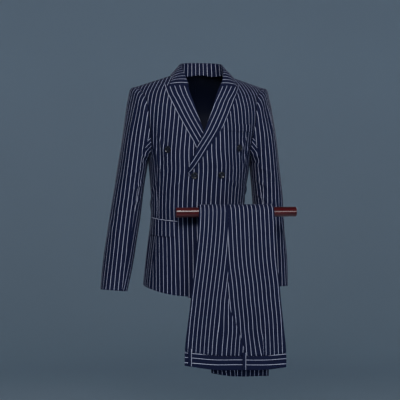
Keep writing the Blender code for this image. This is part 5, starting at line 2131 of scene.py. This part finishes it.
@dataclass
class Rod:
    """The lacquered rod between two x, with a slight bevel round its flat ends."""

    lacquer: bpy.types.Material
    ends: Pair
    y: float
    z: float
    radius: float
    bevel: float = 0.0011
    sides: int = 72

    def build(self) -> None:
        """Builds the rod."""
        bm = bmesh.new()
        length = self.ends[1] - self.ends[0]
        sizes = {"radius1": self.radius, "radius2": self.radius, "depth": length}
        bmesh.ops.create_cone(bm, cap_ends=True, segments=self.sides, **sizes)
        rims = [edge for edge in bm.edges if abs(edge.verts[0].co.z - edge.verts[1].co.z) < 1e-6]
        shape = {"affect": "EDGES", "segments": 3, "profile": 0.5, "material": -1}
        bmesh.ops.bevel(bm, geom=rims, offset=self.bevel, **shape)
        turn = Matrix.Rotation(math.pi / 2, 4, "Y")
        place = Matrix.Translation((sum(self.ends) / 2, self.y, self.z)) @ turn
        bmesh.ops.transform(bm, matrix=place, verts=bm.verts)
        bmesh.ops.recalc_face_normals(bm, faces=bm.faces)
        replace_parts(link("rod_turned", to_mesh(bm, "rod_turned", 35), self.lacquer, Slot.LACQUER), "rod")
        LOG.info("rod: %.0f x %.1f mm", length / MM, 2 * self.radius / MM)


class Lamp(NamedTuple):
    """A square soft light that faces the suit."""

    name: str
    place: Colour
    size: float
    power: float
    colour: Colour


@dataclass
class Studio:
    """The floor, the soft lights and the camera, whose angles are in degrees and its lens in millimetres.

    Attributes:
        bend: radius of the curve from the floor up to its wall.
        pale: the floor's colour.
        darker: the colour of its clouds.
        world: the surrounding light's colour.
    """

    azimuth: float = -8.0
    elevation: float = 2.5
    distance: float = 3.2
    lens: float = 92.9
    target: Colour = (0.0016, 0.0, -0.384)
    floor_z: float = -2.15
    floor_radius: float = 9.0
    bend: float = 3.0
    bend_steps: int = 24
    wall_height: float = 5.0
    pale: Colour = (0.76, 0.88, 1.00)
    darker: Colour = (0.7144, 0.8272, 0.94)
    world: Colour = (0.58, 0.66, 0.78)
    world_strength: float = 0.055
    lamps: tuple[Lamp, ...] = (
        Lamp("key", (-0.5, -2.5, 1.2), 0.9, 52.0, (1.0, 0.99, 0.98)),
        Lamp("fill", (1.6, -3.2, 0.1), 1.0, 25.0, (0.97, 0.98, 1.0)),
        Lamp("top", (0.2, 0.4, 2.6), 1.4, 4.0, (1.0, 1.0, 1.0)),
        Lamp("back_left", (-1.4, 3.0, 0.6), 1.2, 18.0, (0.97, 0.98, 1.0)),
        Lamp("back_right", (2.4, 2.7, 0.4), 1.2, 20.0, (0.97, 0.98, 1.0)),
    )

    def put(self, name: str, data: bpy.types.ID, place: Vector) -> bpy.types.Object:
        """Puts a light or the camera at its place, facing the suit."""
        item = bpy.data.objects.new(name, data)
        item.location = place
        item.rotation_euler = (place - Vector(self.target)).to_track_quat("Z", "Y").to_euler()
        bpy.context.scene.collection.objects.link(item)
        return item

    def camera(self) -> None:
        """Puts the camera at its viewing angle."""
        a, e = math.radians(self.azimuth), math.radians(self.elevation)
        back = Vector((math.sin(a) * math.cos(e), -math.cos(a) * math.cos(e), math.sin(e)))
        data = bpy.data.cameras.new("camera")
        data.lens, data.sensor_width, data.clip_end = self.lens, 36.0, 100.0
        bpy.context.scene.camera = self.put("camera", data, Vector(self.target) + back * self.distance)

    def light(self, lamp: Lamp) -> None:
        """Puts one light in place."""
        data = bpy.data.lights.new(lamp.name, "AREA")
        data.shape, data.size, data.energy, data.color = "SQUARE", lamp.size, lamp.power, lamp.colour
        self.put(lamp.name, data, Vector(lamp.place))

    def floor(self) -> None:
        """A wide round floor whose edge curves up all round, so that no horizon shows."""
        bm = bmesh.new()
        flat = self.floor_radius - self.bend
        turns = [math.pi / 2 * step / self.bend_steps for step in range(1, self.bend_steps + 1)]
        rings = [(flat + self.bend * math.sin(turn), self.bend * (1 - math.cos(turn))) for turn in turns]
        rings.append((self.floor_radius, self.bend + self.wall_height))
        edges = edges_of(bmesh.ops.create_circle(bm, cap_ends=True, radius=flat, segments=96)["verts"])
        for radius, height in rings:
            made = bmesh.ops.extrude_edge_only(bm, edges=edges)["geom"]
            ring = {item for item in made if isinstance(item, bmesh.types.BMVert)}
            edges = [item for item in made if isinstance(item, bmesh.types.BMEdge)]
            edges = [edge for edge in edges if ring.issuperset(edge.verts)]
            for vert in ring:
                level = vert.co.xy.normalized() * radius
                vert.co = (level.x, level.y, height)
        bmesh.ops.recalc_face_normals(bm, faces=bm.faces)
        bmesh.ops.translate(bm, verts=bm.verts, vec=(0, 0, self.floor_z))
        mesh = to_mesh(bm, "floor")
        material, nodes, shader, place = new_material("floor")
        colour = nodes.mix(nodes.noise(place, 0.8, 3.0), self.darker, self.pale)
        nodes.fill(shader, Base_Color=colour, Roughness=0.9)
        mesh.materials.append(material)
        item = bpy.data.objects.new("floor", mesh)
        bpy.context.scene.collection.objects.link(item)

    def build(self) -> None:
        """Sets the stage."""
        world = bpy.data.worlds.new("studio")
        world.use_nodes = True
        nodes = Nodes(world.node_tree)
        nodes.fill(world.node_tree.nodes["Background"], Color=(*self.world, 1), Strength=self.world_strength)
        bpy.context.scene.world = world
        self.floor()
        for lamp in self.lamps:
            self.light(lamp)
        self.camera()
        LOG.info("stage: a floor, %d lights and a camera", len(self.lamps))


def main() -> None:
    """Builds the suit round its frame, in order."""
    logging.basicConfig(level=logging.INFO, format="%(message)s")
    Studio().build()
    form, suiting = Form(), Suiting().make()
    Jacket(form, suiting).build()
    Collar(form, suiting).build()
    for sign, rings, folds in ((1, LEFT_SLEEVE, LEFT_SLEEVE_FOLDS), (-1, RIGHT_SLEEVE, RIGHT_SLEEVE_FOLDS)):
        Sleeve(form, suiting, sign, rings, Drape(folds, SLEEVE_WAVES, radius=0.055, strength=1.3)).build()
    Pockets(form, suiting).build()
    Buttons(form, Horn().make(), Thread().make()).build()
    low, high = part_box("rod")
    rod_y, rod_z = (low.y + high.y) / 2, (low.z + high.z) / 2
    Trousers(suiting, rod_y, rod_z).build()
    Rod(Lacquer().make(), (low.x, high.x), rod_y, rod_z, (high.z - low.z) / 2).build()


if __name__ == "__main__":
    main()
